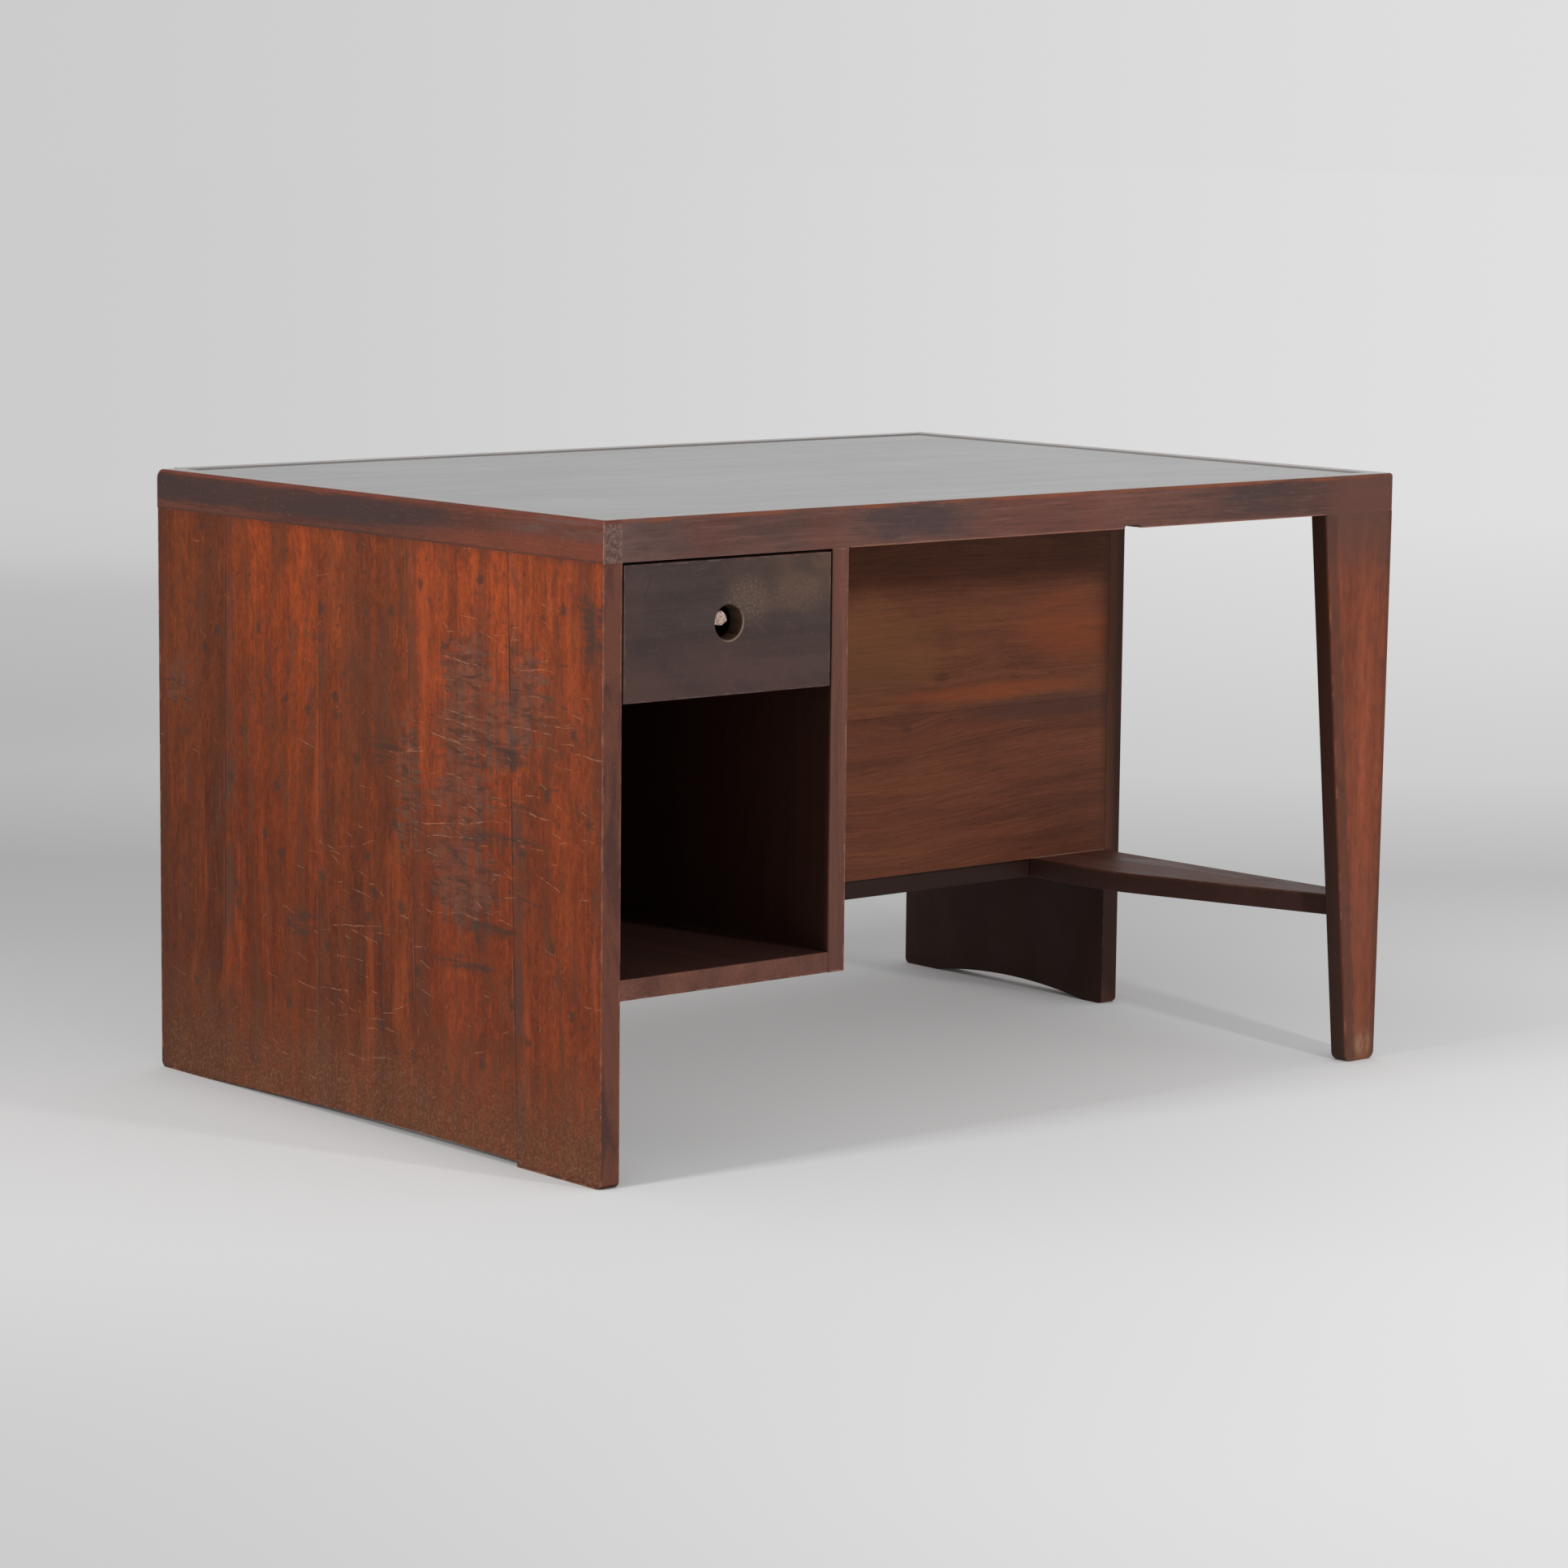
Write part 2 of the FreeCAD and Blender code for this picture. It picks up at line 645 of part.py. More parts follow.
rail_ends = {"front": (front, front_rail_inside), "back": (back_rail_inside, back)}
left_rail_mortises = []
right_rail_tenons = []
right_rail_mortises = {}
right_rail_middle = right_outside - rail_width / 2
long_rails = {}
for end, depth in rail_ends.items():
    tenon_y = around((depth[0] + depth[1]) / 2, rail_tenon_thick)
    tenon = stub_tenon(f"{end}_rail_tenon", (left_rail_inside - rail_tenon_long, left_rail_inside), tenon_y)
    left_rail_mortises.append(stub_tenon(
        f"{end}_rail_mortise", (left_rail_inside - rail_tenon_long - joint_room, left_rail_inside), tenon_y))
    if end == "front":
        reach = (front_rail_inside - rail_tenon_long, front_rail_inside)
        slot = (front_rail_inside - rail_tenon_long - joint_room, front_rail_inside)
    else:
        reach = (back_rail_inside, back_rail_inside + rail_tenon_long)
        slot = (back_rail_inside, back_rail_inside + rail_tenon_long + joint_room)
    cross = around(right_rail_middle, rail_tenon_thick)
    right_rail_tenons.append(stub_tenon(f"right_rail_tenon_{end}", cross, reach))
    right_rail_mortises[end] = stub_tenon(f"right_rail_mortise_{end}", cross, slot)
    bar = rail(f"{end}_rail_bar", (left_rail_inside, right_outside), depth, ["right", end], ["right", end])
    long_rails[end] = fuse(f"{end}_rail_tenoned", [bar, tenon])

left_rail_bar = rail("left_rail_bar", (left_outside, left_rail_inside), (front, back),
                     ["left", "front"], end_round=rail_end_round)
right_rail_bar = rail("right_rail_bar", (right_rail_inside, right_outside),
                      (front_rail_inside, back_rail_inside), ["right"])
right_rail_tenoned = fuse("right_rail_tenoned", [right_rail_bar, *right_rail_tenons])
# A splinter has broken off the front rail's lower edge
rail_chip = board("rail_chip", "XZ_Plane",
                  [(0, 0), (chip_long, 0), (chip_long - chip_slope, chip_high), (chip_slope, chip_high)],
                  rail_width, (left_outside + chip_place, front, rail_bottom), flip=True)
keep(cut("top_rail_front", long_rails["front"], [right_rail_mortises["front"], leg_mortise, rail_chip]))
keep(cut("top_rail_back", long_rails["back"], [right_rail_mortises["back"]]))
keep(cut("top_rail_left", left_rail_bar, [*left_rail_mortises, dowel_holes]))
keep(cut("top_rail_right", right_rail_tenoned, [dowel_holes]))


# Boards under the leather, the bearers that carry them, and the leather

top_spans = {"x": (left_rail_inside, right_rail_inside), "y": (front_rail_inside, back_rail_inside),
             "z": (top_board_bottom, leather_bottom)}
top_names = ["top_board_1", "top_board_2", "top_board_3", "top_board_4"]
top_board_width = (back_rail_inside - front_rail_inside) / len(top_names)
boards(top_names, block("top_whole", **top_spans), top_spans, "y", "z",
       [front_rail_inside + top_board_width * count for count in range(1, len(top_names))])

bearer_rise = (rail_bottom, top_board_bottom)
bearer_depth = (front_rail_inside, modesty_front)
pedestal_middle = (pedestal_inside + pedestal_outside) / 2
keep(block("bearer_left", (left_rail_inside, left_rail_inside + side_bearer_width), bearer_depth,
           bearer_rise))
keep(block("bearer_pedestal", around(pedestal_middle, cross_bearer_width), bearer_depth, bearer_rise))
keep(block("bearer_middle", around((pedestal_middle + right_rail_inside) / 2, cross_bearer_width),
           bearer_depth, bearer_rise))
keep(block("bearer_right", (right_rail_inside - side_bearer_width, right_rail_inside), bearer_depth,
           bearer_rise))
keep(block("bearer_modesty", top_spans["x"], (modesty_front, modesty_back), bearer_rise))
keep(block("cleat_back", top_spans["x"], (back_rail_inside - cleat_width, back_rail_inside), bearer_rise))
keep(block("leather_top", (left_rail_inside + leather_margin, right_rail_inside - leather_margin),
           (front_rail_inside + leather_margin, back_rail_inside - leather_margin),
           (leather_bottom, leather_top_face)))


# Drawer: dovetailed sides, housed back, grooved bottom

def drawer_side(name, x):
    """A side board with a row of tails on its front end."""
    side_long = drawer_end - drawer_front_back
    body = board(name, "YZ_Plane",
                 [(tail_long, 0), (tail_long + side_long, 0), (tail_long + side_long, side_height),
                  (tail_long, side_height)],
                 drawer_side_thick, (x[0], drawer_front_back - tail_long, side_bottom))
    pitch = side_height / tail_count
    low = (pitch - tail_width) / 2
    tail = sketch_on(body, "YZ_Plane", name + "_tail_outline")
    outline(tail, [(0, low), (0, low + tail_width), (tail_long, low + tail_width - tail_taper),
                   (tail_long, low + tail_taper)])
    pad = body.newObject("PartDesign::Pad", name + "_tail")
    pad.Profile = tail
    pad.setExpression("Length", drawer_side_thick.formula)
    doc.recompute()
    row = body.newObject("PartDesign::LinearPattern", name + "_tails")
    row.Originals = [pad]
    row.Direction = (tail, ["V_Axis"])
    row.Occurrences = tail_count
    row.setExpression("Length", (pitch * (tail_count - 1)).formula)
    body.Tip = row
    return body


left_tails = drawer_side("left_tails", left_side)
right_tails = drawer_side("right_tails", right_side)

tray_x = (left_side[1] - drawer_bottom_groove, right_side[0] + drawer_bottom_groove)
tray = keep(block("drawer_bottom", tray_x, (drawer_front_back - drawer_bottom_groove, drawer_end),
                  (tray_bottom, tray_top)))
back_x = (left_side[1] - drawer_back_housing, right_side[0] + drawer_back_housing)
back_y = (drawer_end - drawer_back_inset - drawer_back_thick, drawer_end - drawer_back_inset)
drawer_back = keep(block("drawer_back", back_x, back_y, (tray_top, side_top)))

groove_y = (drawer_front_back + runner_land, drawer_end)
groove_z = (runner_bottom - runner_play, runner_top + runner_play)
left_groove = block("left_groove", (left_side[0], left_side[0] + runner_groove), groove_y, groove_z)
right_groove = block("right_groove", (right_side[1] - runner_groove, right_side[1]), groove_y, groove_z)
keep(cut("drawer_side_left", left_tails, [tray, drawer_back, left_groove]))
keep(cut("drawer_side_right", right_tails, [tray, drawer_back, right_groove]))

front_width = drawer_right - drawer_left
front_board = board("drawer_front_board", "XZ_Plane",
                    [(0, 0), (front_width, 0), (front_width, drawer_height), (0, drawer_height)],
                    drawer_front_thick, (drawer_left, front, drawer_bottom), flip=True)
hole_sketch = sketch_on(front_board, "XZ_Plane", "finger_hole_circle")
hole_middle = (front_width / 2, finger_hole_height)
hole_sketch.addGeometry(Part.Circle(FreeCAD.Vector(hole_middle[0].value, hole_middle[1].value, 0),
                                    FreeCAD.Vector(0, 0, 1), finger_hole_diameter.value / 2))
pin(hole_sketch, 0, 3, hole_middle)
bind(hole_sketch, Sketcher.Constraint("Diameter", 0, finger_hole_diameter.value), finger_hole_diameter)
doc.recompute()
solid_volume = front_board.Shape.Volume
finger_hole = front_board.newObject("PartDesign::Pocket", "finger_hole")
finger_hole.Profile = hole_sketch
finger_hole.Type = "ThroughAll"
doc.recompute()
if front_board.Shape.Volume >= solid_volume:
    raise RuntimeError("the finger hole cuts nothing from the drawer front")
round_edges(front_board, "finger_hole_rim", finger_hole_ease,
            lambda box: near(box.YMax, 0) and near(box.XLength, finger_hole_diameter))
keep(cut("drawer_front", front_board, [left_tails, right_tails, tray]))

for side, x in (("left", (gable_inside, left_runner_face)), ("right", (right_runner_face, pedestal_inside))):
    runner = block(f"{side}_runner_strip", x, (runner_front, modesty_front), (runner_bottom, runner_top))
    keep(cut(f"drawer_runner_{side}", runner, [screw_holes]))


# Rebuild, check every object, then write one file for each sub-part

doc.recompute()
failed = [item.Name for item in doc.Objects if "Invalid" in item.State or "Error" in item.State]
if failed:
    raise RuntimeError(f"failed objects: {failed}")
for node in nodes:
    if node.Shape.isNull() or not node.Shape.isValid() or not node.Shape.Solids:
        raise RuntimeError(f"{node.Label} has no valid solid")
os.makedirs("parts", exist_ok=True)
for node in nodes:
    node.Shape.exportStep(f"parts/{node.Label}.step")
print(len(nodes), "sub-parts")
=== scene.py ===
import math

import bpy
from mathutils import Matrix, Vector


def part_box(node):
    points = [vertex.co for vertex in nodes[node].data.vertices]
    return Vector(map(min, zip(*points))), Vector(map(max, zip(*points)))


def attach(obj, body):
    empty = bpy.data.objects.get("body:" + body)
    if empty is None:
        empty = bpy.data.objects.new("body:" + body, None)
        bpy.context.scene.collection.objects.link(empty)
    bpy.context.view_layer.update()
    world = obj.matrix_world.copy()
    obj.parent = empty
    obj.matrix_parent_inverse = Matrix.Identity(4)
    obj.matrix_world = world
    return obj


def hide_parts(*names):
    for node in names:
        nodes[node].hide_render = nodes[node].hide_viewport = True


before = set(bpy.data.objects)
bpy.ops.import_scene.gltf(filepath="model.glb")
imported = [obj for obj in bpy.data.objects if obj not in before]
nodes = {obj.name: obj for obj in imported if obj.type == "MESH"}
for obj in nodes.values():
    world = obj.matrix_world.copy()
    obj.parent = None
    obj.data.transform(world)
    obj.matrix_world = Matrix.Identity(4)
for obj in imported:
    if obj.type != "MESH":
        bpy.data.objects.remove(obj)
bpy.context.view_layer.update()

# Looks of the pigeonhole desk: worn teak, a leather top, a plain studio.
# Metres throughout, in the frame's own axes: X along the desk, Y away from the sitter, Z up.


def shade(red, green, blue):
    """A colour written as it looks on a screen, from 0 to 255."""
    linear = []
    for level in (red / 255, green / 255, blue / 255):
        linear.append(level / 12.92 if level <= 0.04045 else ((level + 0.055) / 1.055) ** 2.4)
    return (*linear, 1.0)


# Shader building blocks

class Paint:
    """A node tree built up a step at a time, a material's or the world's. It keeps the colour laid so far."""

    def __init__(self, name, kind="materials"):
        self.owner = getattr(bpy.data, kind).new(name)
        self.owner.use_nodes = True
        self.tree = self.owner.node_tree
        self.tree.nodes.clear()
        self.spaces = self.node("ShaderNodeTexCoord").outputs
        self.place = self.spaces["Object"]
        self.x, self.y, self.z = self.split(self.place)
        self.colour = None

    def node(self, kind, inputs=None, **settings):
        made = self.tree.nodes.new(kind)
        for name, value in settings.items():
            setattr(made, name, value)
        for name, value in (inputs or {}).items():
            self.feed(made.inputs[name], value)
        return made

    def feed(self, socket, value):
        if isinstance(value, bpy.types.NodeSocket):
            self.tree.links.new(value, socket)
        else:
            socket.default_value = value

    def split(self, vector):
        parts = self.node("ShaderNodeSeparateXYZ", {"Vector": vector})
        return parts.outputs[0], parts.outputs[1], parts.outputs[2]

    def join(self, x, y, z=0.0):
        return self.node("ShaderNodeCombineXYZ", {"X": x, "Y": y, "Z": z}).outputs[0]

    def math(self, operation, first, second=0.0):
        return self.node("ShaderNodeMath", {0: first, 1: second}, operation=operation).outputs[0]

    def fold(self, operation, values):
        """Any number of values joined by one operation, from the left."""
        result = values[0]
        for value in values[1:]:
            result = self.math(operation, result, value)
        return result

    def add(self, *values):
        return self.fold("ADD", values)

    def times(self, *values):
        return self.fold("MULTIPLY", values)

    def most(self, *values):
        return self.fold("MAXIMUM", values)

    def least(self, *values):
        return self.fold("MINIMUM", values)

    def minus(self, first, second):
        return self.math("SUBTRACT", first, second)

    def invert(self, value):
        return self.minus(1.0, value)

    def apart(self, first, second):
        """How far two values lie from each other."""
        return self.math("ABSOLUTE", self.minus(first, second))

    def length(self, across, up):
        return self.math("SQRT", self.add(self.times(across, across), self.times(up, up)))

    def fade(self, value, start, end, low=0.0, high=1.0, curve="SMOOTHSTEP"):
        """A step from low at start to high at end, smooth unless another curve is named."""
        inputs = {"Value": value, "From Min": start, "From Max": end, "To Min": low, "To Max": high}
        return self.node("ShaderNodeMapRange", inputs, interpolation_type=curve).outputs["Result"]

    def fade_line(self, value, start, end):
        """A straight step from 0 at start to 1 at end."""
        return self.fade(value, start, end, curve="LINEAR")

    def zone(self, value, start, end, soft):
        """1 between start and end, with soft borders."""
        risen = self.fade(value, start - soft, start + soft)
        return self.times(risen, self.fade(value, end + soft, end - soft))

    def vary(self, noise, low, high):
        """From low to high with a noise, over the span that noises mostly keep to."""
        return self.fade(noise, 0.3, 0.7, low, high)

    def noise(self, vector, scale=1.0, detail=3.0, roughness=0.5, distortion=0.0):
        inputs = {"Vector": vector, "Scale": scale, "Detail": detail, "Roughness": roughness,
                  "Distortion": distortion}
        return self.node("ShaderNodeTexNoise", inputs).outputs["Fac"]

    def smoke(self, across, up, across_scale, up_scale, seed, distortion=0.6):
        """Cloudy noise, stretched on a face."""
        at = self.join(self.times(across, across_scale), self.times(up, up_scale), seed)
        return self.noise(at, 1.0, 5.0, 0.62, distortion)

    def mix(self, factor, first, second, mode="MIX"):
        """Two colours mixed. Each is another node's output, or three levels as a screen shows them."""
        made = self.node("ShaderNodeMix", data_type="RGBA", blend_type=mode, clamp_factor=True)
        self.feed(made.inputs[0], factor)
        for socket, colour in ((made.inputs[6], first), (made.inputs[7], second)):
            self.feed(socket, shade(*colour) if isinstance(colour, tuple) else colour)
        return made.outputs[2]

    def scaled(self, colour, level):
        """A colour made lighter or darker by a level."""
        return self.mix(1.0, colour, self.join(level, level, level), "MULTIPLY")

    def lay(self, over, *where):
        """Lays a colour over the present one, by the product of the masks and amounts that follow it."""
        self.colour = self.mix(self.times(*where), self.colour, over)

    def tone(self, level):
        """Makes the present colour lighter or darker by a level."""
        self.colour = self.scaled(self.colour, level)

    def facing_up(self):
        """1 on faces that look straight up."""
        normal = self.node("ShaderNodeNewGeometry").outputs["Normal"]
        return self.fade(self.split(normal)[2], 0.9, 0.99)

    def patch(self, across, up, middle, reach):
        """A soft round-ended patch on a face, 1 at its middle and 0 past its reach."""
        sideways = self.math("DIVIDE", self.minus(across, middle[0]), reach[0])
        upward = self.math("DIVIDE", self.minus(up, middle[1]), reach[1])
        return self.fade(self.length(sideways, upward), 1.0, 0.35)

    def cells(self, across, up, cell, seed):
        """A random mesh on a face: the place in it, and its nodes' outputs."""
        at = self.join(self.add(across, seed), up)
        mesh = self.node("ShaderNodeTexVoronoi", {"Vector": at, "Scale": 1 / cell}, voronoi_dimensions="2D")
        return at, mesh.outputs

    def marks(self, across, up, cell, length, width, lean, spread, share, seed):
        """Fine straight scratches, one to a cell of a random mesh, in a share of the cells."""
        at, mesh = self.cells(across, up, cell, seed)
        turn, size, luck = self.split(mesh["Color"])
        offset = self.node("ShaderNodeVectorMath", {0: at, 1: mesh["Position"]}, operation="SUBTRACT")
        angle = self.add(self.times(self.minus(turn, 0.5), spread), lean)
        turned = self.node("ShaderNodeVectorRotate", {"Vector": offset.outputs[0], "Angle": angle},
                           rotation_type="Z_AXIS")
        along, aside, _ = self.split(turned.outputs[0])
        half = self.add(self.times(size, length * 0.35), length * 0.15)
        on_length = self.fade(self.minus(half, self.math("ABSOLUTE", along)), 0.0, length * 0.1)
        on_width = self.fade(self.math("ABSOLUTE", aside), width, width * 0.4)
        return self.times(on_length, on_width, self.math("LESS_THAN", luck, share))

    def spots(self, across, up, cell, size, share, seed):
        """Ragged round spots, one to a cell of a random mesh, in a share of the cells."""
        at, mesh = self.cells(across, up, cell, seed)
        luck = self.split(mesh["Color"])[2]
        ragged = self.times(self.minus(self.noise(at, 170.0, 4.0, 0.65), 0.5), 0.35)
        away = self.add(mesh["Distance"], ragged)
        return self.times(self.fade(away, size, size * 0.3), self.math("LESS_THAN", luck, share))

    def stroke(self, across, up, start, end, width):
        """One long scratch from start to end on a face."""
        run = Vector(end) - Vector(start)
        long = run.length
        aside_x = self.minus(across, start[0])
        aside_y = self.minus(up, start[1])
        along = self.add(self.times(aside_x, run.x / long), self.times(aside_y, run.y / long))
        off = self.minus(self.times(aside_y, run.x / long), self.times(aside_x, run.y / long))
        on_length = self.zone(along, 0.0, long, long * 0.12)
        return self.times(on_length, self.fade(self.math("ABSOLUTE", off), width, width * 0.3))

    def output(self, shader, kind="ShaderNodeOutputMaterial"):
        self.node(kind, {"Surface": shader.outputs[0]})

    def finish(self, roughness, height, depth=0.0002, sheen=0.25, **extra):
        """The material, with the colour laid so far and a relief of some depth."""
        bump = self.node("ShaderNodeBump", {"Strength": 1.0, "Distance": depth, "Height": height})
        inputs = {"Base Color": self.colour, "Roughness": roughness, "Normal": bump.outputs[0],
                  "Specular IOR Level": sheen, **extra}
        self.output(self.node("ShaderNodeBsdfPrincipled", inputs))
        return self.owner


class Wood:
    """The grain of one teak finish, laid on a paint before any wear. It keeps the relief and a fine grit."""

    def __init__(self, paint, axis, dark, middle, light, pull=None, streaks=1.0):
        along = {"x": paint.x, "y": paint.y, "z": paint.z}[axis]
        across = [part for name, part in zip("xyz", (paint.x, paint.y, paint.z)) if name != axis]
        if pull is not None:
            across[1] = paint.add(across[1], pull)
        board = paint.node("ShaderNodeObjectInfo")
        seed = paint.times(board.outputs["Object Index"], 3.7)
        stretched = paint.join(across[0], across[1], paint.add(paint.times(along, 0.8), seed))
        wander = paint.times(paint.noise(stretched, 2.5, 2.0), 0.03)
        bent = paint.add(across[0], wander)
        deep = paint.add(across[1], wander)

        def grain(scale, slowness, detail, roughness):
            shifted = paint.add(paint.times(along, slowness), seed)
            return paint.noise(paint.join(bent, deep, shifted), scale, detail, roughness)

        bands = grain(30.0, 0.04, 4.0, 0.55)
        fibres = grain(330.0, 0.02, 3.0, 0.7)
        cloud = grain(9.0, 0.35, 3.0, 0.55)
        lines = paint.fade(grain(150.0, 0.012, 2.0, 0.5), 0.6, 0.74)
        pores = paint.fade(grain(640.0, 0.05, 1.0, 0.5), 0.6, 0.72)
        paint.colour = dark
        paint.lay(middle, paint.fade(bands, 0.34, 0.56))
        paint.lay(light, paint.fade(bands, 0.52, 0.76))
        paint.lay(light, paint.fade(cloud, 0.52, 0.72), 0.5)
        paint.lay(dark, paint.fade(cloud, 0.48, 0.28), 0.6)
        paint.tone(paint.vary(fibres, 1.0 - 0.16 * streaks, 1.0 + 0.12 * streaks))
        paint.lay(dark, lines, 0.35 * streaks)
        paint.lay((42, 24, 17), pores, 0.25 * streaks)
        self.grit = paint.noise(paint.place, 640.0, 3.0, 0.7)
        paint.tone(paint.vary(self.grit, 1.12, 0.88))
        paint.colour = paint.mix(1.0, paint.colour, board.outputs["Color"], "MULTIPLY")
        self.height = paint.minus(paint.times(fibres, 0.5), paint.times(pores, 0.3))


def inset(paint, axis, low, high):
    """How far a point lies inside a block, from the nearer of its two ends along one axis."""
    part = (paint.x, paint.y, paint.z)[axis]
    return paint.least(paint.minus(part, low[axis]), paint.minus(high[axis], part))


def edge_distance(paint, low, high):
    """How far a point on a block's faces lies from the block's nearest edge."""
    gaps = [inset(paint, axis, low, high) for axis in range(3)]
    nearer = paint.least(gaps[0], gaps[1])
    further = paint.most(gaps[0], gaps[1])
    return paint.least(further, paint.most(nearer, gaps[2]))


def worn_edges(paint, low, high, reach, bite=1.0):
    """A broken band along the edges of a block, where the finish is rubbed away."""
    rub = paint.noise(paint.place, 55.0, 4.0, 0.65)
    limit = paint.fade(rub, 0.38, 0.72, 0.0, reach)
    away = edge_distance(paint, low, high)
    return paint.times(paint.fade(paint.minus(limit, away), -reach * 0.15, reach * 0.25), bite)


def raised(corner, rise=0.05):
    """A corner moved up, so that the edges at its level take no wear."""
    return corner[0], corner[1], corner[2] + rise


def joined_box(names):
    """The lowest and highest corner of several nodes together."""
    corners = [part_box(name) for name in names]
    low = [min(corner[0][axis] for corner in corners) for axis in range(3)]
    high = [max(corner[1][axis] for corner in corners) for axis in range(3)]
    return low, high


# Gable: red-brown boards, smoky stains and long scratches on the front ones, a dusty foot

gable_names = [f"gable_board_{number}" for number in range(1, 6)]
gable_low, gable_high = joined_box(gable_names)
# Each joint's place in depth at the foot and at the rail, and how dark it is
gable_joints = ((-0.282, -0.262, 1.0), (-0.099, -0.075, 0.5), (0.0975, 0.093, 0.4), (0.29, 0.283, 1.0))
# Middle in depth and height, reach in depth and height
gable_stains = ((-0.19, 0.535, 0.042, 0.048), (-0.178, 0.47, 0.052, 0.044), (-0.248, 0.478, 0.034, 0.046),
                (-0.3, 0.52, 0.03, 0.06), (-0.184, 0.4, 0.06, 0.034), (-0.178, 0.345, 0.052, 0.038),
                (-0.187, 0.298, 0.064, 0.042), (-0.078, 0.402, 0.018, 0.085), (0.385, 0.47, 0.022, 0.03))
gable_smears = ((-0.225, 0.452, 0.09, 0.013), (-0.237, 0.357, 0.08, 0.011), (-0.223, 0.258, 0.052, 0.012),
                (-0.175, 0.212, 0.062, 0.01), (-0.031, 0.43, 0.032, 0.024), (0.133, 0.214, 0.03, 0.018))
# Both ends of each long scratch, in depth and height
gable_strokes = (((-0.131, 0.492), (-0.217, 0.486)), ((-0.141, 0.481), (-0.246, 0.472)),
                 ((-0.269, 0.486), (-0.343, 0.482)), ((-0.117, 0.464), (-0.236, 0.446)),
                 ((-0.146, 0.551), (-0.208, 0.545)), ((-0.383, 0.467), (-0.433, 0.464)),
                 ((-0.269, 0.395), (-0.338, 0.392)), ((-0.092, 0.358), (-0.251, 0.377)),
                 ((0.066, 0.221), (-0.021, 0.231)), ((0.092, 0.145), (0.025, 0.151)))


def gable_finish():
    paint = Paint("teak_gable")
    wood = Wood(paint, "z", (100, 46, 25), (118, 53, 26), (135, 61, 29), streaks=0.65)
    y, z = paint.y, paint.z
    haze = paint.smoke(y, z, 13.0, 8.0, 1.0)
    tall = paint.smoke(y, z, 26.0, 3.0, 5.0)
    strips = paint.smoke(y, z, 80.0, 7.0, 8.0, 0.2)
    smears = paint.smoke(y, z, 12.0, 110.0, 11.0, 0.2)
    mottle = paint.smoke(y, z, 60.0, 26.0, 21.0, 0.8)
    dirt = paint.smoke(y, z, 230.0, 110.0, 31.0, 0.4)

    # Brighter towards the rail, browner in tall bands and thin upright strips, mottled all over
    rise = paint.fade(paint.add(z, paint.times(haze, 0.2)), 0.36, 0.76, 0.8, 1.22)
    paint.tone(paint.times(rise, paint.vary(mottle, 1.18, 0.8), paint.vary(dirt, 1.18, 0.8)))
    paint.lay((84, 48, 32), paint.fade(tall, 0.5, 0.66), 0.6)
    paint.lay((150, 70, 35), paint.fade(tall, 0.46, 0.3), 0.45)
    paint.lay((88, 53, 38), paint.fade(strips, 0.52, 0.7), 0.45)
    paint.lay((80, 50, 38), paint.fade(mottle, 0.54, 0.7), 0.35)

    # Joint lines, a pale line behind each that is a painted highlight on the board's arris, and painted shade
    # before it
    line = 0.0
    shadow = 0.0
    arris = 0.0
    broken = paint.fade(paint.smoke(y, z, 20.0, 14.0, 41.0), 0.36, 0.62)
    for foot, top, strength in gable_joints:
        joint = paint.fade_line(z, 0.0, gable_high[2])
        joint = paint.add(paint.times(joint, top - foot), foot)
        off = paint.minus(y, joint)
        line = paint.most(paint.times(paint.zone(off, -0.0016, 0.0008, 0.0008), strength), line)
        arris = paint.most(paint.zone(off, 0.0018, 0.003, 0.0008), arris)
        shadow = paint.most(paint.times(paint.zone(off, -0.018, 0.0, 0.005), strength), shadow)
    paint.lay((78, 50, 40), shadow, broken, 0.75)
    paint.lay((156, 92, 68), arris, broken, 0.35)
    paint.lay((54, 34, 28), line, paint.fade(broken, 0.0, 1.0, 0.45, 0.85))

    # Grey-brown stains that run down the second board, the grain showing through, and dark drags over them
    torn = paint.add(y, paint.times(paint.minus(smears, 0.5), 0.12))
    torn_up = paint.add(z, paint.times(paint.minus(strips, 0.5), 0.09))
    stained = 0.0
    for across, up, wide, high in gable_stains:
        blot = paint.patch(torn, torn_up, (across, up), (wide * 1.3, high * 1.3))
        stained = paint.most(blot, stained)
    thin = paint.smoke(y, z, 30.0, 120.0, 51.0, 0.5)
    through = paint.add(paint.times(strips, 0.5), paint.add(paint.times(smears, 0.2), paint.times(thin, 0.3)))
    stain = paint.times(paint.fade(stained, 0.0, 0.8), paint.fade(through, 0.36, 0.6, 0.15, 1.0))
    tinge = paint.mix(paint.fade(thin, 0.4, 0.64), (94, 70, 59), (62, 45, 38))
    paint.lay(tinge, stain, 0.75)
    arris_dirt = paint.patch(torn, z, (-0.414, 0.603), (0.024, 0.06))
    paint.lay((62, 47, 43), arris_dirt, paint.fade(through, 0.36, 0.56), 0.8)
    dragged = 0.0
    drag_up = paint.add(z, paint.times(paint.minus(mottle, 0.5), 0.02))
    for across, up, wide, high in gable_smears:
        drag = paint.patch(torn, drag_up, (across, up), (wide * 1.2, high * 1.3))
        dragged = paint.most(drag, dragged)
    dents = paint.spots(y, z, cell=0.06, size=0.15, share=0.34, seed=4.0)
    pits = paint.spots(y, z, cell=0.024, size=0.16, share=0.3, seed=9.0)
    dents = paint.most(dents, paint.times(pits, 0.7))
    dark = paint.most(paint.times(dragged, paint.fade(smears, 0.38, 0.6)), paint.times(dents, 0.9))
    paint.lay((58, 42, 36), dark, 0.75)
    paint.lay((80, 53, 41), paint.fade(haze, 0.5, 0.66), paint.fade(through, 0.42, 0.6), 0.55)
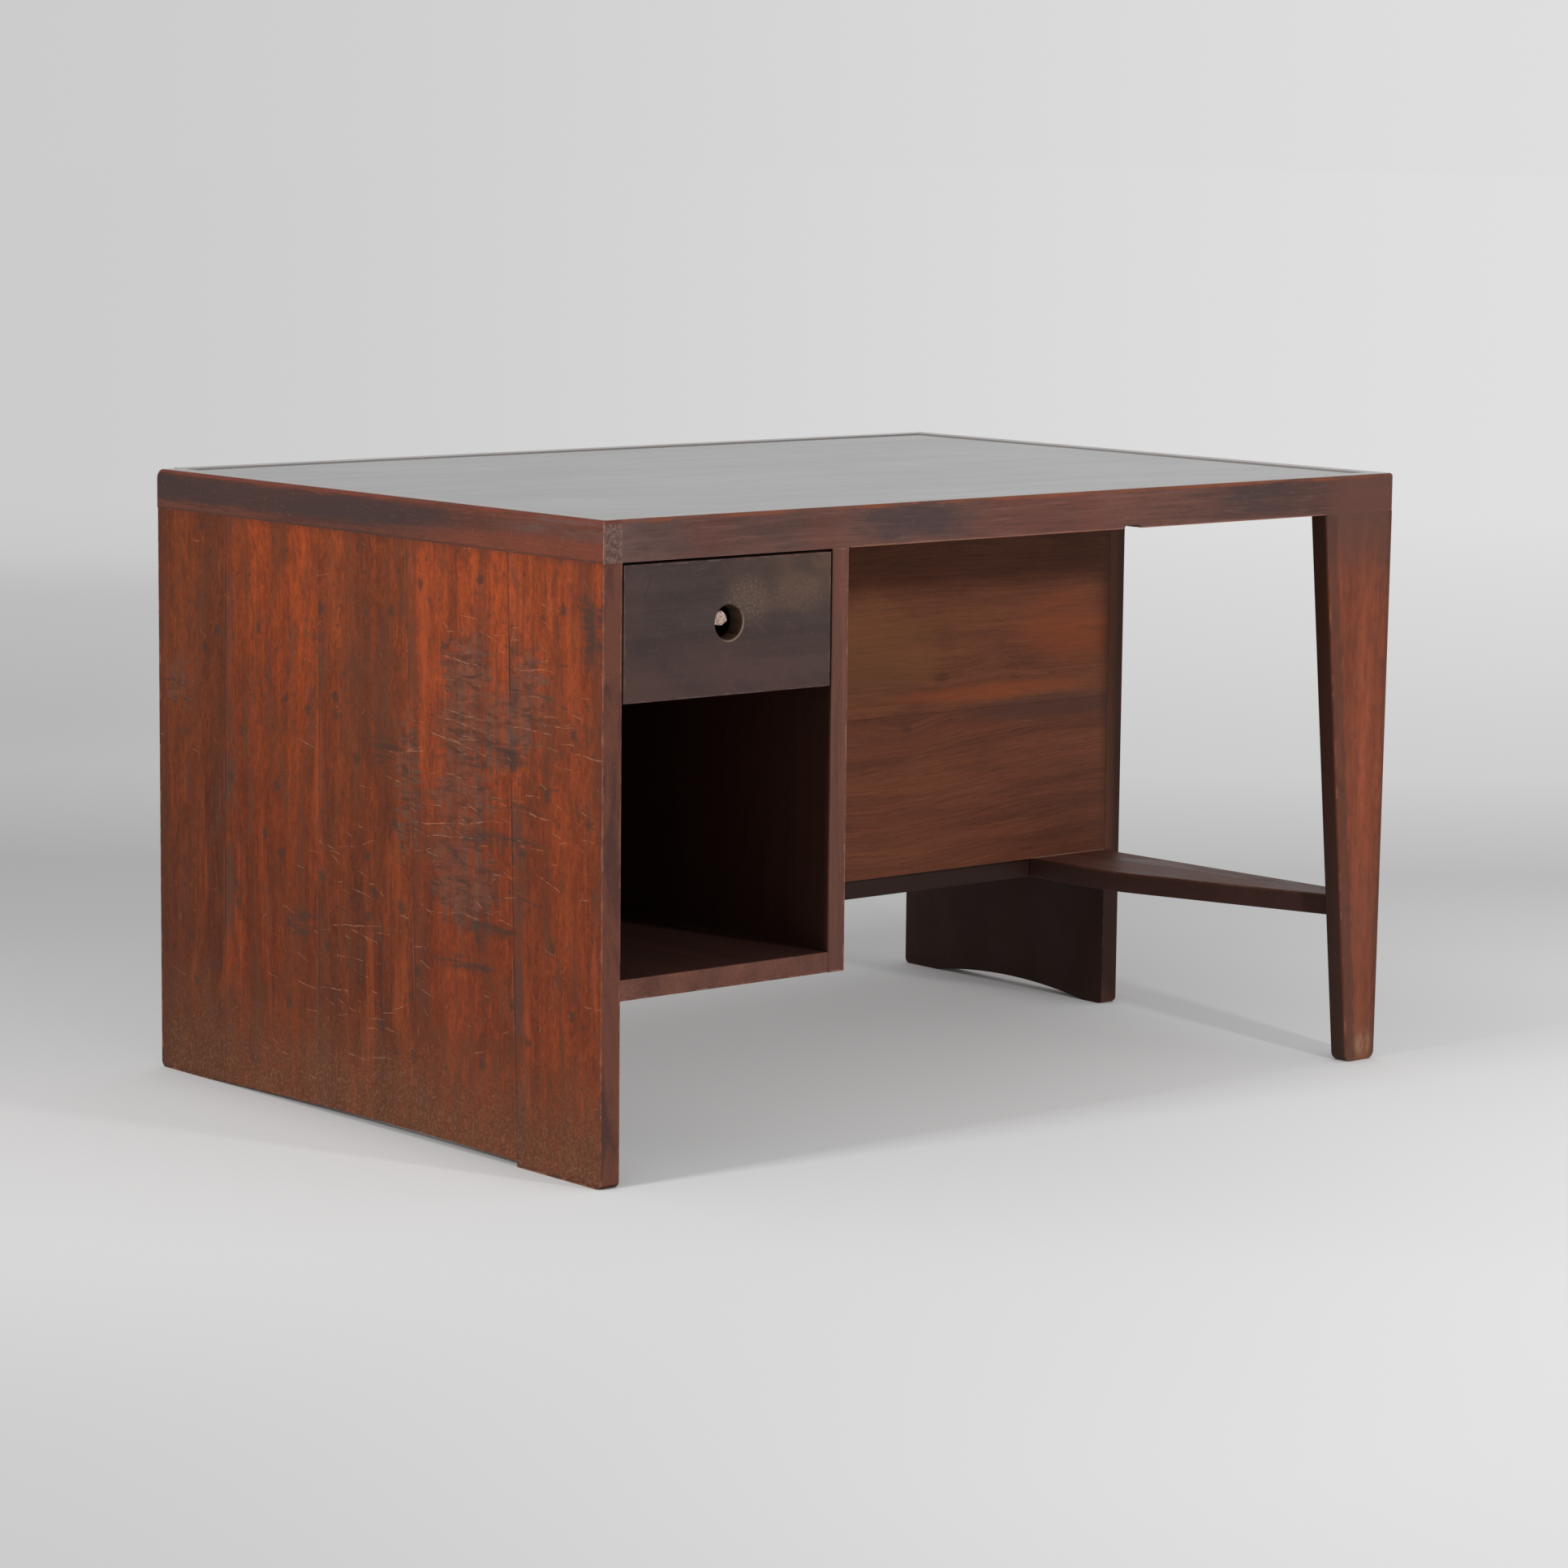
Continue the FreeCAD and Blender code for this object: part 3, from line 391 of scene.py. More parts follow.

    # Dust at the foot, darker towards the back edge, painted shade under the rail, darker along the very
    # bottom
    speckle = paint.noise(paint.place, 330.0, 4.0, 0.7)
    dust = paint.fade(paint.add(z, paint.times(paint.add(haze, strips), 0.1)), 0.27, 0.08)
    dusty = paint.times(dust, paint.fade(dirt, 0.3, 0.62, 0.35, 0.85))
    paint.lay(paint.mix(paint.fade(speckle, 0.44, 0.66), (88, 57, 41), (124, 88, 64)), dusty)
    back = paint.fade(paint.add(y, paint.times(haze, 0.03)), 0.405, 0.442)
    # Painted shade just under the rail
    rail_shade = paint.times(paint.fade(paint.add(z, paint.times(through, 0.02)), 0.672, 0.686), 0.6)
    paint.lay((70, 42, 32), paint.most(back, rail_shade), 0.6)
    sole = paint.fade(paint.add(z, paint.times(mottle, 0.006)), 0.009, 0.004)
    paint.lay((64, 42, 33), sole, 0.6)

    # Pale scratches: long and nearly level on the front boards, a few short curled ones lower down
    sway = paint.times(paint.minus(paint.noise(paint.place, 20.0, 3.0), 0.5), 0.01)
    up = paint.add(z, sway)
    cluster = paint.most(paint.patch(y, up, (-0.23, 0.44), (0.24, 0.24)),
                         paint.times(paint.patch(y, up, (-0.02, 0.22), (0.24, 0.24)), 0.5))
    long_share = paint.fade(cluster, 0.1, 0.8, 0.05, 0.75)
    level = paint.marks(y, up, cell=0.055, length=0.08, width=0.0007, lean=-0.06, spread=0.5,
                        share=long_share, seed=7.0)
    second = paint.marks(y, up, cell=0.03, length=0.036, width=0.0006, lean=-0.1, spread=0.8,
                         share=long_share, seed=3.0)
    curled = paint.add(y, paint.times(sway, 1.5))
    loose = paint.marks(curled, up, cell=0.022, length=0.016, width=0.0006, lean=1.3, spread=2.4,
                        share=paint.fade(z, 0.35, 0.15, 0.08, 0.3), seed=11.0)
    fine = paint.most(level, second, paint.times(loose, 0.7))
    for start, end in gable_strokes:
        fine = paint.most(paint.stroke(y, up, start, end, width=0.0009), fine)
    pressed = paint.fade(paint.noise(paint.place, 90.0, 3.0), 0.38, 0.66, 0.05, 1.0)
    scratch = paint.times(fine, pressed)
    scribble = paint.marks(y, up, cell=0.04, length=0.075, width=0.0022, lean=-0.1, spread=0.7,
                           share=paint.fade(cluster, 0.25, 0.9, 0.0, 0.8), seed=17.0)
    paint.lay((60, 43, 36), scribble, paint.fade(smears, 0.36, 0.62), 0.5)
    paint.lay((168, 118, 90), scratch, 0.6)
    chips = paint.fade(paint.noise(paint.place, 300.0, 1.0), 0.7, 0.78)
    chips = paint.times(chips, paint.most(paint.fade(haze, 0.45, 0.65, 0.1, 1.0), dust))
    paint.lay((152, 108, 80), chips, 0.4)

    # Front edge: pinkish, rubbed pale along its arrises
    front = paint.fade(y, gable_low[1] + 0.0016, gable_low[1] + 0.0004)
    edge_grime = paint.fade(paint.smoke(paint.x, z, 40.0, 9.0, 2.0), 0.42, 0.64)
    edge_colour = paint.mix(edge_grime, (116, 72, 59), (86, 58, 52))
    paint.lay(paint.scaled(edge_colour, paint.vary(wood.grit, 1.14, 0.84)), front, 0.92)
    paint.lay((152, 102, 82), worn_edges(paint, gable_low, raised(gable_high), 0.0035, 0.45))

    height = paint.minus(wood.height, paint.add(paint.times(scratch, 1.2), paint.times(line, 0.7)))
    rough = paint.add(paint.vary(haze, 0.46, 0.6), paint.times(paint.add(dust, scratch), 0.12))
    return paint.finish(rough, height, sheen=0.1)


# Rails: brown with black-brown grime, rubbed orange along the rounded upper edge

rail_names = ["top_rail_left", "top_rail_front", "top_rail_right", "top_rail_back"]
rail_low, rail_high = joined_box(rail_names)


def rail_edges(paint, along, rubbed, lower_from, lower_to):
    """Rubbed wood on the rounded upper edge, a pale line on part of the lower one, a clear polish and a
    painted grey sheen on top.

    Returns the mask of the top face.
    """
    rub = paint.smoke(along, paint.z, 20.0, 60.0, 6.0)
    lift = paint.times(paint.minus(rub, 0.5), 0.006)
    upper = paint.fade(paint.add(paint.z, lift), rail_high[2] - 0.0055, rail_high[2] - 0.0025)
    paint.lay(rubbed, upper, paint.fade(rub, 0.38, 0.6, 0.2, 0.85))
    lower = paint.fade(paint.minus(paint.z, paint.times(rub, 0.003)), rail_low[2] + 0.001,
                       rail_low[2] - 0.0012)
    lower = paint.times(lower, paint.zone(along, lower_from, lower_to, 0.004))
    paint.lay((156, 106, 88), lower, 0.7)
    paint.lay((158, 116, 98), worn_edges(paint, raised(rail_low, -0.05), raised(rail_high), 0.0035, 0.45))

    # The top gets a painted grey sheen in patches, and the lip round the leather a painted grey that matches
    # the leather's sheen
    within = paint.least(inset(paint, 0, rail_low, rail_high), inset(paint, 1, rail_low, rail_high))
    lip = paint.times(paint.fade(within, 0.0238, 0.0246),
                      paint.fade(paint.z, rail_high[2] - 0.008, rail_high[2] - 0.006))
    top = paint.facing_up()
    grey_sheen = paint.fade(paint.noise(paint.place, 45.0, 4.0, 0.65), 0.32, 0.66, 0.96, 0.62)
    paint.lay((130, 125, 122), top, grey_sheen)
    paint.lay((150, 146, 143), lip)
    return top


def rail_polish(top):
    """A clear polish that lies on the top face only."""
    return {"Coat Weight": top, "Coat Roughness": 0.26, "Coat IOR": 1.9}


def rail_scratches(paint, along, share):
    """Level and short upright scratches. Returns their mask."""
    level = paint.marks(along, paint.z, cell=0.03, length=0.04, width=0.0005, lean=0.0, spread=0.5,
                        share=share, seed=5.0)
    short = paint.marks(along, paint.z, cell=0.014, length=0.008, width=0.0006, lean=1.2, spread=2.0,
                        share=share, seed=9.0)
    both = paint.most(level, short)
    paint.lay((150, 108, 92), both, 0.22)
    return both


def side_rail_finish():
    paint = Paint("teak_rail_side")
    wood = Wood(paint, "y", (74, 43, 34), (92, 52, 39), (112, 58, 40))
    y, z = paint.y, paint.z
    drift = paint.smoke(y, z, 9.0, 40.0, 3.0)
    streaky = paint.smoke(y, z, 14.0, 170.0, 12.0, 0.2)
    slow = paint.smoke(y, z, 4.0, 10.0, 7.0)
    thin = paint.smoke(y, z, 70.0, 420.0, 17.0, 0.3)
    middle = rail_low[2] + 0.026
    band = paint.fade(paint.apart(z, middle), 0.022, 0.006)
    behind = paint.fade(y, -0.26, 0.0, 0.25, 1.0)
    streaks = paint.add(paint.times(streaky, 0.35), paint.times(thin, 0.25))
    ragged = paint.add(paint.times(drift, 0.4), streaks)
    grime = paint.fade(paint.add(ragged, paint.times(band, behind, 0.3)), 0.52, 0.74)
    paint.lay((57, 43, 41), grime, 0.85)
    red = paint.times(paint.fade(y, -0.05, -0.25), paint.fade(z, rail_low[2] + 0.034, rail_low[2] + 0.014))
    paint.lay((112, 56, 38), red, paint.fade(slow, 0.3, 0.6, 0.3, 0.9))
    grey = paint.times(paint.fade(y, -0.2, -0.34), paint.fade(z, rail_low[2] + 0.016, rail_low[2] + 0.034))
    paint.lay((100, 74, 69), grey, paint.fade(ragged, 0.42, 0.6))

    # Thin level streaks, dark and rubbed, all along it
    paint.lay((64, 43, 37), paint.fade(thin, 0.52, 0.68), 0.45)
    paint.lay((134, 86, 70), paint.fade(thin, 0.45, 0.28), 0.18)

    # A dark seam where it sits on the gable
    seam = paint.fade(paint.add(z, paint.times(drift, 0.003)), rail_low[2] + 0.0052, rail_low[2] + 0.0022)
    paint.lay((58, 37, 30), seam, 0.6)

    # Sawn end grain shows at the front corner
    end = paint.fade(y, rail_low[1] + 0.0014, rail_low[1] + 0.0003)
    pitted = paint.fade(paint.noise(paint.place, 280.0, 4.0, 0.7), 0.36, 0.64)
    paint.lay(paint.mix(pitted, (92, 66, 61), (134, 101, 94)), end)
    past_the_end = (1.0, 2.0)
    top = rail_edges(paint, y, (112, 54, 40), *past_the_end)
    nicks = rail_scratches(paint, y, paint.fade(y, 0.1, -0.3, 0.05, 0.2))
    height = paint.minus(wood.height, paint.times(nicks, 0.5))
    rough = paint.vary(drift, 0.42, 0.58)
    return paint.finish(rough, height, sheen=0.16, **rail_polish(top))


def long_rail_finish():
    paint = Paint("teak_rail_long")
    wood = Wood(paint, "x", (84, 58, 52), (102, 70, 62), (118, 78, 67), streaks=0.9)
    x, z = paint.x, paint.z
    drift = paint.smoke(x, z, 8.0, 26.0, 3.0)
    fleck = paint.smoke(x, z, 34.0, 70.0, 9.0)

    # Slate-grey patches, redder wood between them and at the leg
    slate = paint.most(paint.times(paint.zone(x, -0.55, -0.47, 0.05), 0.5),
                       paint.times(paint.zone(x, -0.43, -0.33, 0.05), 0.5),
                       paint.zone(x, -0.25, -0.1, 0.05), paint.zone(x, 0.3, 0.43, 0.05))
    streaky = paint.smoke(x, z, 10.0, 190.0, 14.0, 0.2)
    middle = rail_low[2] + 0.025
    band = paint.fade(paint.apart(z, middle), 0.026, 0.01)
    ragged = paint.add(paint.times(drift, 0.65), paint.times(fleck, 0.35))
    dark = paint.fade(paint.add(ragged, paint.times(slate, band, 0.26)), 0.5, 0.86)
    red = paint.most(paint.zone(x, -0.5, -0.44, 0.03), paint.zone(x, -0.07, 0.16, 0.06),
                     paint.times(paint.zone(x, -0.33, -0.28, 0.03), 0.7))
    red = paint.times(red, paint.fade(fleck, 0.32, 0.58, 0.15, 0.95))
    paint.lay((112, 60, 48), red, 0.5)
    pale = paint.times(paint.fade(x, -0.44, -0.56), paint.fade(fleck, 0.32, 0.6, 0.2, 1.0))
    paint.lay((124, 96, 92), pale, 0.5)
    paint.lay((66, 57, 57), dark, 0.8)
    paint.lay((72, 54, 50), paint.fade(streaky, 0.52, 0.68), 0.45)
    paint.lay((130, 92, 84), paint.fade(streaky, 0.46, 0.3), 0.45)
    paint.lay((126, 92, 82), paint.fade(fleck, 0.6, 0.76), 0.45)
    at_leg = paint.fade(paint.add(x, paint.times(drift, 0.06)), 0.5, 0.56)
    paint.lay((108, 70, 60), at_leg, 0.8)
    pedestal_to_leg = (-0.262, 0.488)
    top = rail_edges(paint, x, (136, 76, 52), *pedestal_to_leg)
    nicks = rail_scratches(paint, x, share=0.16)
    height = paint.minus(wood.height, paint.times(nicks, 0.5))
    rough = paint.vary(drift, 0.4, 0.55)
    return paint.finish(rough, height, sheen=0.16, **rail_polish(top))


# Drawer front: dark slate-brown, handled, with rubbed spots round the finger hole

drawer_low, drawer_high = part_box("drawer_front")
hole_middle = ((drawer_low[0] + drawer_high[0]) / 2, drawer_low[2] + 0.079)
hole_radius = 0.019


def drawer_finish():
    paint = Paint("teak_drawer_front")
    wood = Wood(paint, "x", (60, 46, 42), (68, 54, 50), (76, 60, 55), streaks=0.5)
    x, z = paint.x, paint.z
    haze = paint.smoke(x, z, 12.0, 30.0, 2.0)
    slow = paint.smoke(x, z, 7.0, 12.0, 6.0)
    paint.lay((76, 65, 62), paint.fade(haze, 0.5, 0.72), 0.4)
    mottle = paint.smoke(x, z, 46.0, 70.0, 9.0, 0.8)
    paint.lay((55, 47, 47), paint.fade(mottle, 0.5, 0.7), 0.5)
    paint.lay((90, 71, 63), paint.fade(mottle, 0.46, 0.28), 0.4)
    patchy = paint.fade(slow, 0.35, 0.6)
    low_red = paint.fade(z, drawer_low[2] + 0.085, drawer_low[2] + 0.02)
    paint.lay((86, 58, 52), low_red, patchy, 0.6)
    left_red = paint.fade(x, drawer_low[0] + 0.07, drawer_low[0])
    paint.lay((86, 60, 54), left_red, patchy, 0.4)
    corner = paint.patch(x, z, (drawer_high[0] - 0.045, drawer_high[2] - 0.018), (0.13, 0.06))
    paint.lay((98, 72, 58), corner, paint.fade(haze, 0.3, 0.65, 0.2, 0.8))

    # Rubbed specks beside the hole
    handled = paint.most(paint.patch(x, z, (-0.408, 0.625), (0.046, 0.038)),
                         paint.times(paint.patch(x, z, (-0.345, 0.628), (0.06, 0.03)), 0.55))
    speck = paint.noise(paint.place, 300.0, 4.0, 0.75)
    specks = paint.fade(paint.add(speck, paint.times(handled, 0.12)), 0.56, 0.8)
    specks = paint.times(specks, paint.fade(handled, 0.0, 0.3))
    paint.lay((104, 82, 70), handled, 0.25)
    paint.lay((128, 106, 90), specks, 0.6)

    # Bare wood inside the hole and along part of its rim
    sideways = paint.minus(x, hole_middle[0])
    upward = paint.minus(z, hole_middle[1])
    radius = paint.length(sideways, upward)
    right_low = paint.fade(paint.minus(sideways, upward), 0.004, 0.022)
    rim = paint.times(paint.zone(radius, hole_radius + 0.0006, hole_radius + 0.0022, 0.0006), right_low)
    paint.lay((150, 126, 108), rim, 0.75)
    bore = paint.fade(radius, hole_radius + 0.0006, hole_radius - 0.0002)
    rings = paint.fade(paint.noise(paint.join(paint.times(x, 300.0), 0.0, paint.times(z, 60.0))), 0.35, 0.65)
    paint.lay(paint.mix(rings, (70, 52, 44), (112, 84, 68)), bore)

    paint.lay((112, 90, 80), worn_edges(paint, drawer_low, drawer_high, 0.0028, 0.5))
    cut = paint.stroke(x, z, (-0.552, 0.634), (-0.543, 0.66), width=0.0014)
    nicks = paint.marks(x, z, cell=0.034, length=0.024, width=0.0006, lean=0.2, spread=2.4,
                        share=0.2, seed=2.0)
    paint.lay((38, 29, 27), paint.most(cut, nicks), 0.5)
    height = paint.minus(wood.height, paint.times(nicks, 0.5))
    return paint.finish(paint.vary(haze, 0.4, 0.55), height, sheen=0.2)


# Modesty panel: brown and orange level grain round two knots

modesty_names = ["modesty_board_lower", "modesty_board_upper"]
pedestal_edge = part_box("pedestal_side_panel")[1][0]
# Each knot's middle along and up, and its size
modesty_knots = ((0.294, 0.447, 0.01), (0.237, 0.386, 0.006))


def modesty_finish():
    paint = Paint("teak_modesty")
    x, z = paint.x, paint.z
    pull = 0.0
    core = 0.0
    for across, up, size in modesty_knots:
        sideways = paint.times(paint.minus(x, across), 0.5)
        upward = paint.minus(z, up)
        away = paint.length(sideways, upward)
        pull = paint.add(paint.times(paint.fade(away, size * 6, 0.0), size * 1.5), pull)
        core = paint.most(paint.fade(away, size, size * 0.3), core)
    lower_board = paint.fade(z, 0.4045, 0.4035)
    arch = paint.fade(paint.apart(x, 0.2), 0.42, 0.0)
    pull = paint.add(pull, paint.times(arch, lower_board, 0.03))
    wood = Wood(paint, "x", (108, 63, 44), (124, 73, 49), (138, 82, 55), pull, streaks=1.2)
    haze = paint.smoke(x, z, 5.0, 16.0, 4.0)
    paint.lay((78, 48, 38), core, 0.55)
    olive = paint.patch(x, z, (0.17, 0.49), (0.17, 0.08))
    paint.lay((124, 84, 50), olive, 0.4)
    orange = paint.most(paint.patch(x, z, (0.52, 0.5), (0.13, 0.06)),
                        paint.patch(x, z, (0.38, 0.425), (0.22, 0.014)))
    paint.lay((158, 80, 46), orange, paint.fade(haze, 0.3, 0.6, 0.2, 0.6))
    slate = paint.patch(x, z, (0.5, 0.398), (0.22, 0.022))
    paint.lay((86, 58, 50), slate, 0.7)
    # Painted shade at the right end, where the edge rounds away from the light
    paint.lay((70, 46, 38), paint.fade(x, 0.565, 0.592), 0.7)
    paint.lay((92, 56, 42), paint.fade(haze, 0.52, 0.7), 0.45)

    # Painted shade under the top and, darker still, inside the pedestal; dust on the arris where the foot
    # rail meets it
    shade_under_top = paint.fade(paint.add(z, paint.times(haze, 0.05)), 0.6, 0.685)
    paint.lay((52, 33, 28), shade_under_top, 0.85)
    paint.lay((58, 36, 28), paint.fade(x, pedestal_edge, pedestal_edge - 0.01))
    dust = paint.fade(paint.add(z, paint.times(haze, 0.004)), 0.2075, 0.2045)
    paint.lay((178, 148, 128), dust, paint.fade(x, 0.44, 0.47), 0.6)
    marks = paint.marks(x, z, cell=0.06, length=0.04, width=0.0005, lean=0.1, spread=0.8,
                        share=0.14, seed=6.0)
    paint.lay((150, 108, 82), marks, 0.3)
    return paint.finish(paint.vary(haze, 0.45, 0.6), wood.height, sheen=0.15)


# Leg: dark at the rail, red-brown below, rubbed pale at the foot

def leg_finish():
    paint = Paint("teak_leg")
    wood = Wood(paint, "z", (122, 63, 43), (142, 73, 49), (160, 82, 54), streaks=0.7)
    x, z = paint.x, paint.z
    drift = paint.smoke(x, z, 14.0, 8.0, 3.0)
    low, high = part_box("front_leg")
    mottle = paint.smoke(x, z, 90.0, 34.0, 9.0, 0.8)
    paint.tone(paint.vary(mottle, 1.12, 0.84))
    top = paint.fade(paint.add(z, paint.times(drift, 0.1)), 0.6, 0.73)
    paint.lay((92, 65, 57), top, 0.85)
    paint.lay((104, 62, 48), paint.fade(drift, 0.55, 0.72), 0.4)
    below = paint.fade(paint.add(z, paint.times(drift, 0.2)), 0.42, 0.25)
    paint.lay((104, 66, 53), below, 0.3)
    blots = paint.spots(x, z, cell=0.045, size=0.22, share=0.5, seed=3.0)
    paint.lay((88, 56, 45), blots, 0.4)
    foot = paint.fade(paint.add(z, paint.times(drift, 0.09)), 0.13, 0.05)
    paint.lay((144, 100, 74), foot, 0.5)
    scuff = paint.times(paint.patch(x, z, (0.578, 0.022), (0.022, 0.02)), paint.fade(mottle, 0.36, 0.6))
    paint.lay((178, 142, 114), scuff, 0.6)
    nicks = paint.marks(x, z, cell=0.03, length=0.02, width=0.0007, lean=0.2, spread=1.4,
                        share=0.25, seed=4.0)
    paint.lay((84, 52, 41), nicks, 0.4)

    # The side turned from the light gets painted shade, the front is darker along both edges, its arrises are
    # rubbed pale and carry a painted highlight
    shaded_side = paint.fade(paint.y, low[1] + 0.002, low[1] + 0.006)
    paint.lay((46, 29, 24), shaded_side, 0.85)
    downward = paint.invert(paint.fade_line(z, low[2], high[2]))
    outer = paint.minus(high[0] - 0.007, paint.times(downward, 0.007))
    outer_edge = paint.fade(paint.add(x, paint.times(mottle, 0.012)), outer, paint.add(outer, 0.008))
    inner = paint.add(paint.times(downward, 0.0595), low[0] + 0.004)
    inner_edge = paint.fade(paint.minus(x, paint.times(mottle, 0.016)), paint.add(inner, 0.006), inner)
    paint.lay((76, 50, 42), paint.most(outer_edge, inner_edge), 0.55)
    rub = paint.fade(paint.smoke(x, z, 60.0, 26.0, 5.0), 0.46, 0.66)
    arris = paint.zone(paint.y, low[1] + 0.0004, low[1] + 0.0022, 0.0006)
    paint.lay((172, 116, 88), arris, rub, 0.5)
    return paint.finish(paint.vary(drift, 0.42, 0.56), wood.height, sheen=0.18)


# Pedestal: pinkish front edges with pale arrises, painted shade within

def pedestal_finish(name, axis, front):
    paint = Paint(name)
    wood = Wood(paint, axis, (96, 60, 49), (113, 70, 57), (130, 80, 64))
    low, high = joined_box(["pedestal_side_panel", "pedestal_floor"])
    haze = paint.smoke(paint.x, paint.z, 20.0, 9.0, 3.0)
    paint.lay((92, 64, 58), paint.fade(haze, 0.5, 0.7), 0.5)
    # Painted shade on the faces behind the front edge, inside the pedestal
    within = paint.fade(paint.y, front + 0.001, front + 0.004)
    inner = paint.times(within, paint.fade(paint.x, high[0] - 0.002, high[0] - 0.006))
    paint.lay((46, 29, 24), inner, 0.85)
    worn = paint.times(worn_edges(paint, low, high, 0.003, 0.6), paint.invert(paint.times(inner, 0.7)))
    paint.lay((150, 106, 92), worn)
    return paint.finish(paint.vary(haze, 0.45, 0.6), wood.height, sheen=0.2)


# Foot rail: worn pinkish on top, painted shade on its sides

def foot_rail_finish():
    paint = Paint("teak_stretcher")
    wood = Wood(paint, "y", (90, 54, 43), (112, 70, 57), (132, 90, 76))
    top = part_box("stretcher")[1][2]
    haze = paint.smoke(paint.x, paint.y, 18.0, 7.0, 3.0)
    paint.lay((138, 104, 92), paint.fade(haze, 0.5, 0.7), 0.5)
    at_rack = paint.fade(paint.y, -0.12, 0.02)
    paint.lay((82, 46, 35), at_rack, 0.65)
    shoe = paint.marks(paint.x, paint.y, cell=0.03, length=0.03, width=0.0008, lean=0.4, spread=2.4,
                       share=0.3, seed=6.0)
    paint.lay((164, 132, 116), shoe, 0.35)
    # Painted shade on the sides, turned from the light
    shaded_side = paint.fade(paint.z, top - 0.0006, top - 0.003)
    paint.lay((66, 43, 37), shaded_side, 0.9)
    return paint.finish(paint.vary(haze, 0.42, 0.6), wood.height, sheen=0.2)


# Rack and the pieces inside, then the right end panel: plainer brown teak

def plain_finish(name, axis, dark, middle, light, wear_names, wear, shaded_front=0.0):
    paint = Paint(name)
    wood = Wood(paint, axis, dark, middle, light)
    low, high = joined_box(wear_names)
    haze = paint.noise(paint.place, 7.0, 4.0, 0.6)
    paint.lay(dark, paint.fade(haze, 0.5, 0.7), 0.45)
    paint.lay((156, 108, 84), worn_edges(paint, low, high, 0.003, wear))
    # Painted shade on the front edge by the given amount; the rack floor's front sits set back under the
    # modesty panel
    paint.lay((32, 19, 16), paint.fade(paint.y, low[1] + 0.004, low[1] + 0.001), shaded_front)
    return paint.finish(paint.vary(haze, 0.45, 0.6), wood.height, sheen=0.2)


def end_finish():
    paint = Paint("teak_end")
    wood = Wood(paint, "z", (92, 46, 30), (112, 55, 33), (130, 63, 37), streaks=0.6)
    low, high = joined_box(["end_board_front", "end_board_back"])
    haze = paint.smoke(paint.y, paint.z, 12.0, 7.0, 3.0)
    dust = paint.fade(paint.add(paint.z, paint.times(haze, 0.12)), 0.19, 0.05)
    paint.lay((84, 52, 40), paint.fade(haze, 0.5, 0.7), 0.5)
    paint.lay((104, 70, 50), dust, 0.5)
    scratch = paint.marks(paint.y, paint.z, cell=0.06, length=0.07, width=0.0008, lean=0.1, spread=0.8,
                          share=0.2, seed=6.0)
    paint.lay((160, 110, 82), scratch, 0.35)
    # Painted shade on the inner face, which is turned from the light
    inner = paint.fade(paint.x, low[0] + 0.004, low[0] + 0.001)
    paint.lay((54, 36, 29), inner, 0.9)
    front = paint.fade(paint.y, low[1] + 0.0016, low[1] + 0.0004)
    paint.lay((72, 48, 41), front, 0.9)
    lapped = paint.times(paint.fade(paint.x, low[0] + 0.018, low[0] + 0.008),
                         paint.fade(paint.z, 0.2, 0.206))
    paint.lay((110, 66, 45), front, lapped, 0.7)
    paint.lay((126, 84, 68), worn_edges(paint, low, raised(high), 0.003, 0.3))
    return paint.finish(paint.vary(haze, 0.45, 0.6), wood.height, sheen=0.15)


# Screws of the drawer's runners: dull steel

def screw_finish():
    paint = Paint("screw_steel")
    dull = paint.noise(paint.place, 420.0, 3.0)
    paint.colour = paint.mix(paint.fade(dull, 0.4, 0.7), (120, 116, 110), (78, 66, 58))
    return paint.finish(paint.vary(dull, 0.35, 0.6), dull, depth=0.0001, sheen=0.5, Metallic=0.9)


# Leather: grey, rubbed paler towards its edge, dark at the very border

leather_low, leather_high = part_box("leather_top")


def leather_finish():
    paint = Paint("leather")
    grain = paint.node("ShaderNodeTexVoronoi", {"Vector": paint.place, "Scale": 620.0}).outputs["Distance"]
    pull = paint.smoke(paint.x, paint.y, 3.0, 14.0, 1.0)
    cloud = paint.noise(paint.place, 6.0, 4.0, 0.6)
    paint.colour = paint.mix(paint.fade(cloud, 0.35, 0.7), (94, 95, 94), (110, 111, 109))
    paint.lay((126, 125, 122), worn_edges(paint, leather_low, leather_high, 0.02, 0.3))
    creases = paint.marks(paint.x, paint.y, cell=0.16, length=0.12, width=0.0009, lean=0.2, spread=2.6,
                          share=0.3, seed=2.0)
    paint.lay((134, 134, 130), creases, 0.25)
    border = paint.fade(edge_distance(paint, leather_low, leather_high), 0.003, 0.001)
    paint.lay((48, 46, 44), border, 0.8)
    rough = paint.add(paint.vary(pull, 0.33, 0.41), paint.times(cloud, 0.04))
    height = paint.minus(paint.times(grain, 0.2), paint.times(creases, 0.5))
    polish = {"Coat Weight": 0.9, "Coat Roughness": 0.26}
    return paint.finish(rough, height, depth=0.0001, sheen=0.9, **polish)


# Every node's finish

brown = ((92, 56, 40), (116, 72, 52), (138, 88, 62))
rack_floor_names = ["rack_floor_board_front", "rack_floor_board_back"]
shelf_names = ["rack_shelf_board_front", "rack_shelf_board_back"]
drawer_side_names = ["drawer_side_left", "drawer_side_right"]
divider_names = ["rack_divider_lower_1", "rack_divider_upper_1"]
inner_x = plain_finish("teak_inner_x", "x", *brown, shelf_names, wear=0.2)
rack_floor = plain_finish("teak_rack_floor", "x", *brown, rack_floor_names, wear=0.2, shaded_front=0.9)
inner_y = plain_finish("teak_inner_y", "y", *brown, drawer_side_names, wear=0.0)
inner_z = plain_finish("teak_inner_z", "z", *brown, divider_names, wear=0.0)
side_rail = side_rail_finish()
long_rail = long_rail_finish()
gable = gable_finish()
modesty = modesty_finish()
end_panel = end_finish()
front_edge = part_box("pedestal_side_panel")[0][1]

